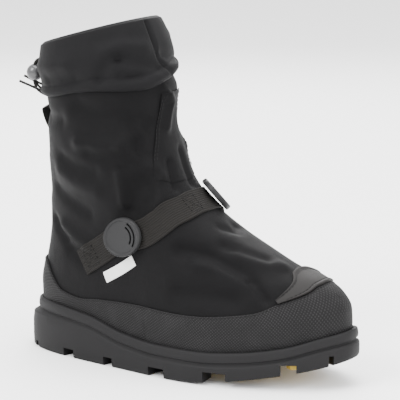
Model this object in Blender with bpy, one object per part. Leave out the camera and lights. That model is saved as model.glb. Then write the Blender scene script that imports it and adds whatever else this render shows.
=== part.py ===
"""An insulated overboot for the right foot, built as its maker assembles it.

Metres. +X points to the toe, +Y to the wearer's left, which is the inner side of this right
boot, and +Z up. The origin is on the ground under the middle of the heel.

Every piece above the sole is worked out from one surface, the last: rings that run around the
boot, each tilted between a point at its back and a point at its front. A place on the last is an
angle (0 at the back, 90 degrees on the inner side, 180 at the front, 270 on the outer side) and
a number of rings up, and a piece lies some way out from it.
"""

import math
from collections import namedtuple

import bmesh
import bpy
from mathutils import Matrix, Vector

# Sole
SOLE_LENGTH = 0.328
BALL_WIDTH = 0.128
HEEL_SETBACK = 0.052
TOE_SPRING = 0.026
LUG_DEPTH = 0.009
SOLE_PLATE = 0.006
HEEL_RAISE = 0.006
RIM_HEIGHT = 0.046
RIM_BAND = 0.0125
GROOVE_DEPTH = 0.0028
HEEL_LEDGE = 0.0045
SLOT_WIDTH = 0.012
LUG_REACH = 0.021
INSERT_PLATE = 0.003
CLEAT_RADIUS = 0.0075
REST_RADIUS = 0.012
FOREFOOT_REST = 0.105

# Upper and what is laid over it
SHAFT_HEIGHT = 0.279
COLLAR_RISE = 0.027
UPPER_WALL = 0.003
INSOLE_THICKNESS = 0.004
RAND_THICKNESS = 0.0013
TOE_CAP_THICKNESS = 0.002
TOE_CAP_BEAD = 0.0007
FLAP_THICKNESS = 0.0012
CUFF_THICKNESS = 0.0028
CUFF_PUFF = 0.0030
CUFF_LIP = 0.0045
CUFF_INSIDE = 0.016

# Strap, buckles and trim
STRAP_WIDTH = 0.025
WEBBING_THICKNESS = 0.0018
BUCKLE_LENGTH = 0.041
BUCKLE_WIDTH = 0.035
BUCKLE_THICKNESS = 0.0052
BUCKLE_SLOT = 0.0018
LABEL_WIDTH = 0.010
LABEL_THICKNESS = 0.0007
LOOP_WIDTH = 0.020
LOOP_THICKNESS = 0.0016
LOOP_STAND_OFF = 0.0092
LOCK_RADIUS = 0.0077
LOCK_HOLE = 0.0034
BUTTON_RADIUS = 0.0044
BUTTON_LENGTH = 0.0075
CORD_DIAMETER = 0.0023
CORD_SPACING = 0.0027

# How far touching pieces stay apart, and the fineness of the surfaces
FIT_GAP = 0.0003
LAY_GAP = 0.0004
AROUND = 40
ROUND = 20

# along: share of SOLE_LENGTH from the heel's back. lateral, medial: half widths, shares of
# BALL_WIDTH. bottom: share of TOE_SPRING. rim: share of RIM_HEIGHT. heel: share of HEEL_RAISE
Sole = namedtuple("Sole", "along lateral medial bottom rim heel")
SOLE = [
    Sole(0.00, 0.370, 0.370, 0.00, 0.98, 1.00),
    Sole(0.10, 0.385, 0.380, 0.00, 1.00, 1.00),
    Sole(0.25, 0.400, 0.365, 0.00, 0.92, 0.75),
    Sole(0.38, 0.430, 0.345, 0.00, 0.70, 0.35),
    Sole(0.50, 0.475, 0.375, 0.00, 0.62, 0.10),
    Sole(0.62, 0.505, 0.450, 0.06, 0.62, 0.00),
    Sole(0.74, 0.490, 0.495, 0.26, 0.68, 0.00),
    Sole(0.85, 0.440, 0.480, 0.50, 0.80, 0.00),
    Sole(0.94, 0.380, 0.440, 0.76, 1.00, 0.00),
    Sole(1.00, 0.340, 0.400, 1.00, 1.12, 0.00),
]
SOLE_SQUARENESS = 2.5

# The side of the sole from the ground up. level: below the rim, a share of RIM_BAND, or, where
# from_ground is true, above the ground as a share of LUG_DEPTH. inset: share of GROOVE_DEPTH.
# ledge: share of HEEL_LEDGE, by which the heel's back steps in above its kick ledge
Step = namedtuple("Step", "from_ground level inset ledge")
SIDE_STEPS = [
    Step(True, 0.00, 0.50, 0.0),
    Step(True, 0.20, 0.00, 0.0),
    Step(False, 1.15, 0.00, 0.0),
    Step(False, 0.96, 0.25, 0.7),
    Step(False, 0.86, 1.00, 1.0),
    Step(False, 0.72, 1.00, 1.0),
    Step(False, 0.66, 0.35, 1.0),
    Step(False, 0.12, 0.60, 1.0),
    Step(False, 0.00, 1.05, 1.0),
]
# The rows of the cup's inside, from the rim down, as shares of its height
CUP_ROWS = [1.0, 0.75, 0.5, 0.25]
# How the ledge fades forward. along: share of SOLE_LENGTH, size: share of HEEL_LEDGE
Ledge = namedtuple("Ledge", "along size")
LEDGE = [Ledge(0.0, 1.0), Ledge(0.03, 0.9), Ledge(0.14, 0.15), Ledge(0.25, 0.0)]

# The gaps between the lugs, on both sides. along: share of SOLE_LENGTH, width: share of
# SLOT_WIDTH, height: share of LUG_DEPTH
Slot = namedtuple("Slot", "along width height")
SLOTS = [
    Slot(0.045, 0.45, 0.60),
    Slot(0.185, 1.05, 0.85),
    Slot(0.330, 0.85, 0.90),
    Slot(0.500, 1.45, 0.92),
    Slot(0.680, 1.75, 0.95),
    Slot(0.870, 1.15, 0.95),
    Slot(0.965, 0.35, 0.95),
]

# The cleats of the insert. along: share of SOLE_LENGTH, across: share of BALL_WIDTH
Cleat = namedtuple("Cleat", "along across")
CLEATS = [
    Cleat(0.092, 0.00), Cleat(0.225, -0.10), Cleat(0.225, 0.07),
    Cleat(0.400, -0.10), Cleat(0.400, 0.06), Cleat(0.478, -0.20),
    Cleat(0.560, -0.22), Cleat(0.560, -0.06), Cleat(0.560, 0.12), Cleat(0.630, -0.14),
    Cleat(0.630, 0.03), Cleat(0.630, 0.20), Cleat(0.700, -0.20), Cleat(0.700, -0.04),
    Cleat(0.700, 0.12), Cleat(0.770, -0.12), Cleat(0.770, 0.05), Cleat(0.770, 0.22),
    Cleat(0.840, -0.10), Cleat(0.840, 0.04), Cleat(0.900, 0.03),
]

# The last's rings, from the footbed to the collar. back_x, front_x: shares of SOLE_LENGTH from
# the origin. back_up, front_up: shares of the height from the footbed there to the collar.
# lateral, medial: half widths as shares of BALL_WIDTH. foot: 1 follows the sole's outline and
# the footbed, 0 is a plain tilted oval. square: the oval's exponent
Ring = namedtuple("Ring", "up back_x back_up front_x front_up lateral medial foot square")
RINGS = [
    Ring(0, -0.122, 0.000, 0.805, 0.000, 0.435, 0.435, 1.00, 2.50),
    Ring(1, -0.122, 0.097, 0.817, 0.052, 0.443, 0.443, 1.00, 2.50),
    Ring(2, -0.122, 0.159, 0.814, 0.106, 0.452, 0.448, 0.95, 2.50),
    Ring(3, -0.113, 0.229, 0.790, 0.160, 0.446, 0.441, 0.90, 2.45),
    Ring(4, -0.101, 0.306, 0.741, 0.207, 0.428, 0.423, 0.80, 2.40),
    Ring(5, -0.095, 0.376, 0.671, 0.248, 0.404, 0.399, 0.65, 2.35),
    Ring(6, -0.095, 0.446, 0.591, 0.302, 0.382, 0.377, 0.50, 2.30),
    Ring(7, -0.091, 0.508, 0.509, 0.355, 0.370, 0.362, 0.35, 2.30),
    Ring(8, -0.091, 0.578, 0.427, 0.411, 0.370, 0.360, 0.20, 2.30),
    Ring(9, -0.088, 0.640, 0.357, 0.478, 0.375, 0.370, 0.10, 2.30),
    Ring(10, -0.085, 0.698, 0.308, 0.562, 0.380, 0.380, 0.00, 2.30),
    Ring(11, -0.085, 0.791, 0.274, 0.673, 0.385, 0.385, 0.00, 2.30),
    Ring(12, -0.087, 0.888, 0.262, 0.787, 0.388, 0.388, 0.00, 2.30),
    Ring(13, -0.087, 1.000, 0.207, 1.000, 0.375, 0.375, 0.00, 2.30),
]
COLLAR = RINGS[-1].up
UPPER_ROWS = [
    0, 0.5, 1, 1.5, 2, 2.5, 3, 3.5, 4, 4.5, 5, 5.5, 6, 7, 8, 8.5, 9, 9.5, 10, 10.5, 11, 11.5, 12,
    12.5, 13,
]
INNER_ROWS = [0, 1, 2, 3, 4, 5, 6, 7, 8, 9, 10, 11, 12, 12.5, 13]

# The rand's upper edge on either side. turn: degrees from the back, up: rings
RandTop = namedtuple("RandTop", "turn up")
RAND_TOP = [
    RandTop(0, 3.20), RandTop(22, 3.10), RandTop(35, 2.50), RandTop(46, 1.90), RandTop(56, 1.80),
    RandTop(69, 2.10), RandTop(87, 2.45), RandTop(110, 2.55), RandTop(122, 2.65),
    RandTop(134, 3.05), RandTop(154, 3.45), RandTop(168, 3.75), RandTop(180, 3.82),
]
RAND_START = 0.2
RAND_ROWS = 7

# The toe cap between the rand and its own back edge. turn: degrees from the back, up: rings
ToeCap = namedtuple("ToeCap", "turn back")
TOE_CAP = [
    ToeCap(134, 3.30), ToeCap(140, 3.62), ToeCap(154, 4.30), ToeCap(168, 4.92), ToeCap(180, 5.08),
]
TOE_CAP_TURN = 134
TOE_CAP_SEAM = 0.03
# The raised bead around it. place: share of the way across the cap, out: share of TOE_CAP_BEAD
Bead = namedtuple("Bead", "place out")
BEAD = [
    Bead(0.00, 0.4), Bead(0.04, 1.0), Bead(0.09, 0.9), Bead(0.14, 0.0), Bead(0.50, 0.0),
    Bead(0.86, 0.0), Bead(0.91, 0.9), Bead(0.96, 1.0), Bead(1.00, 0.4),
]

# The cuff's lower edge. turn: degrees around, up: rings, lip: share of CUFF_LIP
CuffEdge = namedtuple("CuffEdge", "turn up lip")
CUFF_EDGE = [
    CuffEdge(0, 11.42, 0.0), CuffEdge(51, 11.70, 0.0), CuffEdge(105, 12.05, 0.2),
    CuffEdge(150, 12.28, 1.0), CuffEdge(183, 12.15, 0.5), CuffEdge(208, 12.05, 0.1),
    CuffEdge(255, 12.00, 0.0), CuffEdge(309, 11.55, 0.0), CuffEdge(360, 11.42, 0.0),
]
# The cuff's section, outside, over the collar and down inside. place: share of the way from its
# edge to the collar, rise: above the collar, out: from the last, both shares of CUFF_THICKNESS,
# puff: share of CUFF_PUFF, lip: share of the edge's lip
Fold = namedtuple("Fold", "place rise out puff lip")
CUFF_OUTSIDE = [
    Fold(0.00, 0.0, 0.80, 0.0, 0.8),
    Fold(0.04, 0.0, 1.25, 0.1, 1.0),
    Fold(0.14, 0.0, 1.30, 0.3, 1.0),
    Fold(0.30, 0.0, 1.10, 0.5, 0.7),
    Fold(0.60, 0.0, 1.10, 1.0, 0.3),
    Fold(0.86, 0.0, 1.10, 0.7, 0.1),
    Fold(1.00, 0.1, 1.00, 0.3, 0.0),
    Fold(1.00, 0.9, 0.30, 0.0, 0.0),
]

# The closure flap's edges. up: rings, lateral, medial: degrees around
Flap = namedtuple("Flap", "up lateral medial")
FLAP = [
    Flap(9.5, 219, 146), Flap(10, 214, 143), Flap(10.5, 206, 143), Flap(11, 197, 146),
    Flap(11.5, 191, 150), Flap(12, 187, 152),
]
FLAP_TOP = 11.94

# Routes over the last, as angles around in degrees and rings up
Spot = namedtuple("Spot", "turn up")
STRAP_ROUTE = [
    Spot(269, 6.12), Spot(264, 6.40), Spot(247.5, 7.30), Spot(226.5, 8.10), Spot(199.5, 8.60),
    Spot(181.5, 8.70), Spot(164, 8.64), Spot(152, 8.50),
]
LATERAL_ANCHOR_ROUTE = [Spot(276, 5.75), Spot(283.5, 5.20), Spot(295.5, 4.20), Spot(302, 3.65)]
MEDIAL_ANCHOR_ROUTE = [
    Spot(145, 8.35), Spot(130, 7.90), Spot(110, 7.00), Spot(92, 5.75), Spot(80, 4.70),
]
LATERAL_BUCKLE = Spot(273, 5.92)
MEDIAL_BUCKLE = Spot(149, 8.44)
LABEL_ROUTE = [Spot(289.5, 3.30), Spot(282, 3.95), Spot(274.5, 4.70)]

# The pull loop from top to bottom. up: rings, out: share of LOOP_STAND_OFF
Loop = namedtuple("Loop", "up out")
PULL_LOOP = [
    Loop(11.22, 0.00), Loop(11.04, 0.02), Loop(10.94, 0.45), Loop(10.82, 0.96),
    Loop(10.72, 1.00), Loop(10.52, 0.84), Loop(10.26, 0.56), Loop(10.02, 0.22),
    Loop(9.86, 0.02), Loop(9.60, 0.00),
]

# The drawcord's two ends, each along its own route, chosen by hand
LOCK_CENTRE = (-0.0500, -0.0040, 0.2522)
CORD_A = [
    (-0.0347, 0.0, 0.2638), (-0.0410, 0.0, 0.2652), (-0.0458, 0.0, 0.2643),
    (-0.0492, 0.0, 0.2608), (-0.0500, 0.0, 0.2560), (-0.0500, 0.0, 0.2500),
    (-0.0500, 0.0000, 0.2440), (-0.0486, 0.0026, 0.2388), (-0.0450, 0.0076, 0.2352),
    (-0.0416, 0.0128, 0.2336), (-0.0424, 0.0176, 0.2334), (-0.0466, 0.0182, 0.2352),
    (-0.0520, 0.0146, 0.2386), (-0.0580, 0.0104, 0.2422), (-0.0668, 0.0052, 0.2474),
]
CORD_B = [
    (-0.0347, 0.0, 0.2638), (-0.0410, 0.0, 0.2652), (-0.0458, 0.0, 0.2643),
    (-0.0492, 0.0, 0.2608), (-0.0500, 0.0, 0.2560), (-0.0500, 0.0, 0.2500),
    (-0.0500, 0.0000, 0.2436), (-0.0480, 0.0014, 0.2370), (-0.0438, 0.0058, 0.2322),
    (-0.0408, 0.0112, 0.2302), (-0.0420, 0.0158, 0.2298), (-0.0466, 0.0156, 0.2314),
    (-0.0524, 0.0110, 0.2348), (-0.0586, 0.0062, 0.2386), (-0.0672, 0.0006, 0.2432),
]
CORD_STEP = 2.2

COLOURS = {
    "nylon": (0.020, 0.019, 0.020),
    "cuff": (0.032, 0.031, 0.033),
    "woven": (0.066, 0.064, 0.066),
    "patch": (0.105, 0.100, 0.098),
    "rubber": (0.050, 0.049, 0.050),
    "tread": (0.560, 0.400, 0.070),
    "felt": (0.090, 0.088, 0.088),
    "webbing": (0.060, 0.056, 0.052),
    "plastic": (0.090, 0.090, 0.090),
    "tag": (0.720, 0.720, 0.700),
    "cord": (0.150, 0.150, 0.150),
}


def clear_scene():
    for item in list(bpy.data.objects):
        bpy.data.objects.remove(item, do_unlink=True)


def new_collection(name):
    made = bpy.data.collections.new(name)
    bpy.context.scene.collection.children.link(made)
    return made


def material(name, colour, roughness, metallic=0.0):
    made = bpy.data.materials.new(name)
    made.use_nodes = True
    shader = made.node_tree.nodes["Principled BSDF"]
    shader.inputs["Base Color"].default_value = (*COLOURS[colour], 1.0)
    shader.inputs["Roughness"].default_value = roughness
    shader.inputs["Metallic"].default_value = metallic
    return made


# Reading the tables


def smooth(rows, key, column, at):
    """One column of a table at a place along another, on a smooth curve that never overshoots."""
    places = [getattr(row, key) for row in rows]
    values = [getattr(row, column) for row in rows]
    if at <= places[0]:
        return values[0]
    if at >= places[-1]:
        return values[-1]
    slopes = [(values[i + 1] - values[i]) / (places[i + 1] - places[i]) for i in range(len(rows) - 1)]

    def tangent(row):
        if row == 0 or row == len(rows) - 1:
            return slopes[min(row, len(slopes) - 1)]
        before, after = slopes[row - 1], slopes[row]
        return 0.0 if before * after <= 0 else 2 * before * after / (before + after)

    first = max(row for row in range(len(rows) - 1) if places[row] <= at)
    span = places[first + 1] - places[first]
    t = (at - places[first]) / span
    start = values[first] * (2 * t**3 - 3 * t**2 + 1) + tangent(first) * span * (t**3 - 2 * t**2 + t)
    end = values[first + 1] * (3 * t**2 - 2 * t**3) + tangent(first + 1) * span * (t**3 - t**2)
    return start + end


def signed_power(value, exponent):
    return math.copysign(abs(value) ** exponent, value)


def mix(start, end, share):
    return start + (end - start) * share


def around(count=AROUND):
    return [2 * math.pi * step / count for step in range(count)]


def turn_from_back(angle):
    """Degrees from the back of the boot, the same on either side."""
    degrees = math.degrees(angle) % 360
    return min(degrees, 360 - degrees)


# The sole's heights and outline


def along(x):
    return (x + HEEL_SETBACK) / SOLE_LENGTH


def ground_clearance(x):
    return smooth(SOLE, "along", "bottom", along(x)) * TOE_SPRING


def footbed(x):
    raised = smooth(SOLE, "along", "heel", along(x)) * HEEL_RAISE
    return ground_clearance(x) + LUG_DEPTH + SOLE_PLATE + raised


def rim(x):
    return smooth(SOLE, "along", "rim", along(x)) * RIM_HEIGHT


def half_width(share, side):
    return smooth(SOLE, "along", side, share) * BALL_WIDTH


def sole_edge(angle, inset=0.0, ledge=0.0):
    """Place on the sole's outline in plan, moved inwards by inset and, at the heel, by ledge."""
    cosine, sine = math.cos(angle), math.sin(angle)
    share = (1 - signed_power(cosine, 2 / SOLE_SQUARENESS)) / 2
    inset += ledge * smooth(LEDGE, "along", "size", share)
    half = half_width(share, "medial" if sine >= 0 else "lateral") - inset
    x = inset - HEEL_SETBACK + (SOLE_LENGTH - 2 * inset) * share
    return x, signed_power(sine, 2 / SOLE_SQUARENESS) * half


# The last


def ring_at(up):
    values = [smooth(RINGS, "up", column, up) for column in Ring._fields[1:]]
    return Ring(up, *values)


def last_point(angle, ring):
    back_x, front_x = ring.back_x * SOLE_LENGTH, ring.front_x * SOLE_LENGTH
    back_bed, front_bed = footbed(back_x), footbed(front_x)
    back_lift = ring.back_up * (SHAFT_HEIGHT - back_bed)
    front_lift = ring.front_up * (SHAFT_HEIGHT + COLLAR_RISE - front_bed)
    cosine, sine = math.cos(angle), math.sin(angle)
    share = (1 - signed_power(cosine, 2 / ring.square)) / 2
    side = "medial" if sine >= 0 else "lateral"
    x = mix(back_x, front_x, share)
    bed = mix(mix(back_bed, front_bed, share), footbed(x), ring.foot)
    plain = BALL_WIDTH / 2
    half = mix(plain, half_width(share, side), ring.foot)
    half -= plain - getattr(ring, side) * BALL_WIDTH
    y = signed_power(sine, 2 / ring.square) * half
    return Vector((x, y, bed + mix(back_lift, front_lift, share) + FIT_GAP))


def directions(angle, up, small=0.02):
    """The way around, the way up and the way out at a place on the last, each of length 1."""
    ring = ring_at(up)
    low, high = ring_at(max(up - small, 0)), ring_at(min(up + small, COLLAR))
    onward = (last_point(angle + small, ring) - last_point(angle - small, ring)).normalized()
    upward = (last_point(angle, high) - last_point(angle, low)).normalized()
    return onward, upward, upward.cross(onward).normalized()


def on_last(angle, up, out=0.0):
    if not out:
        return last_point(angle, ring_at(up))
    return last_point(angle, ring_at(up)) + directions(angle, up)[2] * out


def slide(angle, up, way, distance, steps=4):
    """The place on the last that lies a distance away from another in a given direction."""
    small = 0.01
    for _ in range(steps):
        here = on_last(angle, up)
        turned = (on_last(angle + small, up) - here) / small
        raised = (on_last(angle, up + small) - here) / small
        wanted = way * (distance / steps)
        a, b, c = turned.dot(turned), turned.dot(raised), raised.dot(raised)
        p, q = turned.dot(wanted), raised.dot(wanted)
        scale = a * c - b * b
        angle += (c * p - b * q) / scale
        up += (a * q - b * p) / scale
    return angle, up


def up_at_height(angle, height, out):
    """How many rings up the surface, moved out, reaches a height that depends on x."""
    low, high = 0.0, 4.0
    for _ in range(24):
        middle = (low + high) / 2
        point = on_last(angle, middle, out)
        if point.z < height(point.x):
            low = middle
        else:
            high = middle
    return (low + high) / 2


# Making meshes


def add_mesh(name, body, made_of, collection):
    bmesh.ops.recalc_face_normals(body, faces=body.faces)
    mesh = bpy.data.meshes.new(name)
    body.to_mesh(mesh)
    body.free()
    mesh.shade_smooth()
    mesh.set_sharp_from_angle(angle=math.radians(40))
    mesh.materials.append(made_of)
    item = bpy.data.objects.new(name, mesh)
    collection.objects.link(item)
    return item


def add_cutter(name, body, collection):
    bmesh.ops.recalc_face_normals(body, faces=body.faces)
    mesh = bpy.data.meshes.new(name)
    body.to_mesh(mesh)
    body.free()
    item = bpy.data.objects.new(name, mesh)
    item.hide_render = True
    item.display_type = "WIRE"
    collection.objects.link(item)
    return item


def boolean(item, other, operation):
    modifier = item.modifiers.new(other.name, "BOOLEAN")
    modifier.operation = operation
    modifier.object = other


def bridge(body, first, second, closed):
    """Faces between two rows of vertices."""
    count = len(first)
    for i in range(count if closed else count - 1):
        j = (i + 1) % count
        body.faces.new((first[i], first[j], second[j], second[i]))


def vertex_rows(body, rows):
    return [[body.verts.new(point) for point in row] for row in rows]


def sleeve(rows):
    """A body whose rows are closed rings, the last row joined to the first."""
    body = bmesh.new()
    made = vertex_rows(body, rows)
    for i, row in enumerate(made):
        bridge(body, row, made[(i + 1) % len(made)], True)
    return body


def slab(outer, inner):
    """A sheet of rows with thickness, open at its four edges."""
    body = bmesh.new()
    top, under = vertex_rows(body, outer), vertex_rows(body, inner)
    for rows in (top, under):
        for first, second in zip(rows, rows[1:]):
            bridge(body, first, second, False)
    bridge(body, top[0], under[0], False)
    bridge(body, top[-1], under[-1], False)
    for end in (0, -1):
        bridge(body, [row[end] for row in top], [row[end] for row in under], False)
    return body


def close_across(body, ring):
    """Fills a ring that is alike on both sides of its length with strips across it."""
    half = len(ring) // 2
    body.faces.new((ring[0], ring[1], ring[-1]))
    for i in range(1, half - 1):
        body.faces.new((ring[i], ring[i + 1], ring[-i - 1], ring[-i]))
    body.faces.new((ring[half - 1], ring[half], ring[half + 1]))


def plate(rings):
    """A body of stacked rings, closed across at its first and last."""
    body = bmesh.new()
    made = vertex_rows(body, rings)
    for first, second in zip(made, made[1:]):
        bridge(body, first, second, True)
    close_across(body, made[0])
    close_across(body, made[-1])
    return body


def catmull(points, per_span):
    """A smooth run of points through hand-chosen ones."""
    points = [Vector(point) for point in points]
    ends = [2 * points[0] - points[1], *points, 2 * points[-1] - points[-2]]
    made = []
    for i in range(1, len(ends) - 2):
        a, b, c, d = ends[i - 1 : i + 3]
        for step in range(per_span):
            t = step / per_span
            made.append(
                0.5 * (2 * b + (c - a) * t + (2 * a - 5 * b + 4 * c - d) * t**2 + (3 * b - a - 3 * c + d) * t**3)
            )
    return made + [points[-1]]


# The sole


def side_ring(step):
    ring = []
    for angle in around():
        x, y = sole_edge(angle, step.inset * GROOVE_DEPTH, step.ledge * HEEL_LEDGE)
        if step.from_ground:
            z = ground_clearance(x) + step.level * LUG_DEPTH
        else:
            z = rim(x) - step.level * RIM_BAND
        ring.append((x, y, z))
    return ring


def make_outsole(parts, cutters, rubber):
    cup_out = LAY_GAP + RAND_THICKNESS + FIT_GAP
    tops = [up_at_height(angle, rim, cup_out) for angle in around()]
    inside = []
    for share in CUP_ROWS:
        inside.append([on_last(angle, top * share, cup_out) for angle, top in zip(around(), tops)])
    low = [on_last(angle, 0, cup_out) for angle in around()]
    inside.append([Vector((point.x, point.y, footbed(point.x))) for point in low])
    outsole = add_mesh("outsole", plate([side_ring(step) for step in SIDE_STEPS] + inside), rubber, parts)
    boolean(outsole, slot_cutters(cutters), "DIFFERENCE")
    boolean(outsole, insert_pocket(cutters), "DIFFERENCE")
    return outsole


def edge_angle(share, side):
    """The angle at which the sole's outline reaches a share of its length."""
    angle = math.acos(signed_power(1 - 2 * share, SOLE_SQUARENESS / 2))
    return angle if side > 0 else -angle


def slot_cutters(cutters):
    body = bmesh.new()
    for slot in SLOTS:
        for side in (1, -1):
            angle = edge_angle(slot.along, side)
            x, y = sole_edge(angle)
            ahead, behind = sole_edge(angle + 0.02), sole_edge(angle - 0.02)
            heading = math.atan2(ahead[1] - behind[1], ahead[0] - behind[0])
            top = slot.height * LUG_DEPTH
            sunk = LUG_DEPTH
            inward = Vector((math.sin(heading), -math.cos(heading), 0))
            centre = Vector((x, y, ground_clearance(x) + (top - sunk) / 2)) + inward * LUG_REACH * 0.5
            size = Matrix.Diagonal((slot.width * SLOT_WIDTH, LUG_REACH * 1.5, top + sunk, 1))
            place = Matrix.Translation(centre) @ Matrix.Rotation(heading, 4, "Z")
            bmesh.ops.create_cube(body, size=1, matrix=place @ size)
    return add_cutter("slot_cutters", body, cutters)


def pocket_ring(inset, height):
    ring = []
    for angle in around():
        x, y = sole_edge(angle, inset)
        ring.append((x, y, ground_clearance(x) + height))
    return ring


def insert_pocket(cutters):
    depth = LUG_DEPTH + INSERT_PLATE
    body = plate([pocket_ring(LUG_REACH, -LUG_DEPTH), pocket_ring(LUG_REACH, depth)])
    return add_cutter("insert_pocket", body, cutters)


def cleat_body(body, x, y, radius, sides):
    low = ground_clearance(x)
    top = low + LUG_DEPTH + INSERT_PLATE / 2
    place = Matrix.Translation((x, y, (low + top) / 2))
    bmesh.ops.create_cone(
        body, cap_ends=True, segments=sides, radius1=radius * 0.88, radius2=radius,
        depth=top - low, matrix=place,
    )


def make_tread_insert(parts, cutters, tread):
    inset = LUG_REACH + FIT_GAP
    plate_low = LUG_DEPTH
    plate_top = LUG_DEPTH + INSERT_PLATE - FIT_GAP
    insert = add_mesh(
        "tread_insert", plate([pocket_ring(inset, plate_low), pocket_ring(inset, plate_top)]), tread, parts
    )
    cleats = bmesh.new()
    for cleat in CLEATS:
        x = cleat.along * SOLE_LENGTH - HEEL_SETBACK
        cleat_body(cleats, x, cleat.across * BALL_WIDTH, CLEAT_RADIUS, 6)
    for x in (0, FOREFOOT_REST):
        cleat_body(cleats, x, 0, REST_RADIUS, 12)
    boolean(insert, add_cutter("cleats", cleats, cutters), "UNION")
    return insert


def make_insole(parts, felt):
    out = -UPPER_WALL - 2 * LAY_GAP
    outline = [on_last(angle, 0, out) for angle in around()]
    rings = []
    for height in (FIT_GAP, FIT_GAP + INSOLE_THICKNESS):
        rings.append([(point.x, point.y, footbed(point.x) + height) for point in outline])
    return add_mesh("insole", plate(rings), felt, parts)


# The upper and its overlays


def make_upper(parts, nylon):
    outside = [[on_last(angle, up) for angle in around()] for up in UPPER_ROWS]
    inside = [[on_last(angle, up, -UPPER_WALL) for angle in around()] for up in INNER_ROWS]
    return add_mesh("upper", sleeve(outside + inside[::-1]), nylon, parts)


def rand_top(angle):
    return smooth(RAND_TOP, "turn", "up", turn_from_back(angle))


def make_rand(parts, woven):
    def rows(out):
        return [
            [on_last(angle, mix(RAND_START, rand_top(angle), step / RAND_ROWS), out) for angle in around()]
            for step in range(RAND_ROWS + 1)
        ]

    outside, inside = rows(LAY_GAP + RAND_THICKNESS), rows(LAY_GAP)
    return add_mesh("rand", sleeve(outside + inside[::-1]), woven, parts)


def make_toe_cap(parts, patch):
    turns = [TOE_CAP_TURN + 2 * (180 - TOE_CAP_TURN) * step / 14 for step in range(15)]

    def row(bead, out):
        points = []
        for turn in turns:
            angle = math.radians(turn)
            front = rand_top(angle) + TOE_CAP_SEAM
            back = smooth(TOE_CAP, "turn", "back", turn_from_back(angle))
            points.append(on_last(angle, mix(front, back, bead.place), out))
        return points

    outside = [row(bead, LAY_GAP + TOE_CAP_THICKNESS + bead.out * TOE_CAP_BEAD) for bead in BEAD]
    inside = [row(bead, LAY_GAP) for bead in BEAD]
    return add_mesh("toe_cap", slab(outside, inside), patch, parts)


def cuff_ring(fold):
    ring = []
    for angle in around():
        turn = math.degrees(angle)
        edge = smooth(CUFF_EDGE, "turn", "up", turn)
        lip = smooth(CUFF_EDGE, "turn", "lip", turn) * CUFF_LIP
        up = mix(edge, COLLAR, fold.place)
        out = fold.out * CUFF_THICKNESS + fold.puff * CUFF_PUFF + fold.lip * lip
        raised = directions(angle, up)[1] * fold.rise * CUFF_THICKNESS
        ring.append(on_last(angle, up, out) + raised)
    return ring


def make_cuff(parts, cloth):
    outside = [cuff_ring(fold) for fold in CUFF_OUTSIDE]
    inner_face = -UPPER_WALL - 2 * FIT_GAP
    turned_in = CUFF_INSIDE / (SHAFT_HEIGHT * (RINGS[-1].back_up - RINGS[-2].back_up))

    def ring(up, out, rise):
        return [
            on_last(angle, up, out) + directions(angle, up)[1] * rise for angle in around()
        ]

    def against_upper(share):
        ups = [mix(COLLAR, smooth(CUFF_EDGE, "turn", "up", math.degrees(angle)), share) for angle in around()]
        return [on_last(angle, up, LAY_GAP) for angle, up in zip(around(), ups)]

    low = COLLAR - turned_in
    inside = [
        ring(COLLAR, inner_face - CUFF_THICKNESS * 0.4, CUFF_THICKNESS * 0.9),
        ring(COLLAR, inner_face - CUFF_THICKNESS * 0.8, 0),
        ring(low, inner_face - CUFF_THICKNESS * 0.6, 0),
        ring(low, inner_face, 0),
        ring(COLLAR, inner_face, FIT_GAP),
        ring(COLLAR, LAY_GAP, FIT_GAP),
    ]
    lying = [against_upper(share) for share in (0.25, 0.5, 0.75, 1.0)]
    return add_mesh("cuff", sleeve(outside + inside + lying), cloth, parts)


def make_closure_flap(parts, nylon):
    ups = [up for up in UPPER_ROWS if FLAP[0].up <= up < FLAP_TOP] + [FLAP_TOP]
    across = 10

    def rows(out):
        made = []
        for up in ups:
            lateral, medial = smooth(FLAP, "up", "lateral", up), smooth(FLAP, "up", "medial", up)
            turns = [mix(medial, lateral, step / across) for step in range(across + 1)]
            made.append([on_last(math.radians(turn), up, out) for turn in turns])
        return made

    return add_mesh(
        "closure_flap", slab(rows(LAY_GAP + FLAP_THICKNESS), rows(LAY_GAP)), nylon, parts
    )


# Strap, buckles and trim


def route_spots(route, per_span):
    """Places along a route over the last, with the way across it at each."""
    flat = catmull([(math.radians(spot.turn), spot.up, 0) for spot in route], per_span)
    points = [on_last(spot.x, spot.y) for spot in flat]
    spots = []
    for i, spot in enumerate(flat):
        onward = (points[min(i + 1, len(flat) - 1)] - points[max(i - 1, 0)]).normalized()
        out = directions(spot.x, spot.y)[2]
        spots.append((spot.x, spot.y, out.cross(onward).normalized()))
    return spots


def band(name, route, width, thickness, out, per_span, made_of, parts, across=4):
    """A flat strap laid over the last along a route."""
    spots = route_spots(route, per_span)

    def rows(lift):
        made = []
        for angle, up, sideways in spots:
            row = []
            for step in range(across + 1):
                place = slide(angle, up, sideways, width * (step / across - 0.5))
                row.append(on_last(*place, lift))
            made.append(row)
        return made

    return add_mesh(name, slab(rows(out + thickness), rows(out)), made_of, parts)


def buckle_outline(scale, height):
    """The buckle's edge: an oval with its upper back side cut flatter."""
    ring = []
    for angle in around(ROUND):
        x, y = math.cos(angle) * BUCKLE_LENGTH / 2, math.sin(angle) * BUCKLE_WIDTH / 2
        flat = max(0.0, math.cos(angle - math.radians(125))) ** 4
        ring.append(Vector((x, y, 0)) * scale * (1 - 0.07 * flat) + Vector((0, 0, height)))
    return ring


def buckle_body():
    thick = BUCKLE_THICKNESS
    rings = [
        buckle_outline(0.95, 0), buckle_outline(1.0, thick * 0.22), buckle_outline(1.0, thick * 0.72),
        buckle_outline(0.95, thick), buckle_outline(0.86, thick), buckle_outline(0.81, thick * 0.78),
    ]
    body = bmesh.new()
    made = vertex_rows(body, rings)
    for first, second in zip(made, made[1:]):
        bridge(body, first, second, True)
    body.faces.new(made[0])
    body.faces.new(made[-1])
    return body


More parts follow.
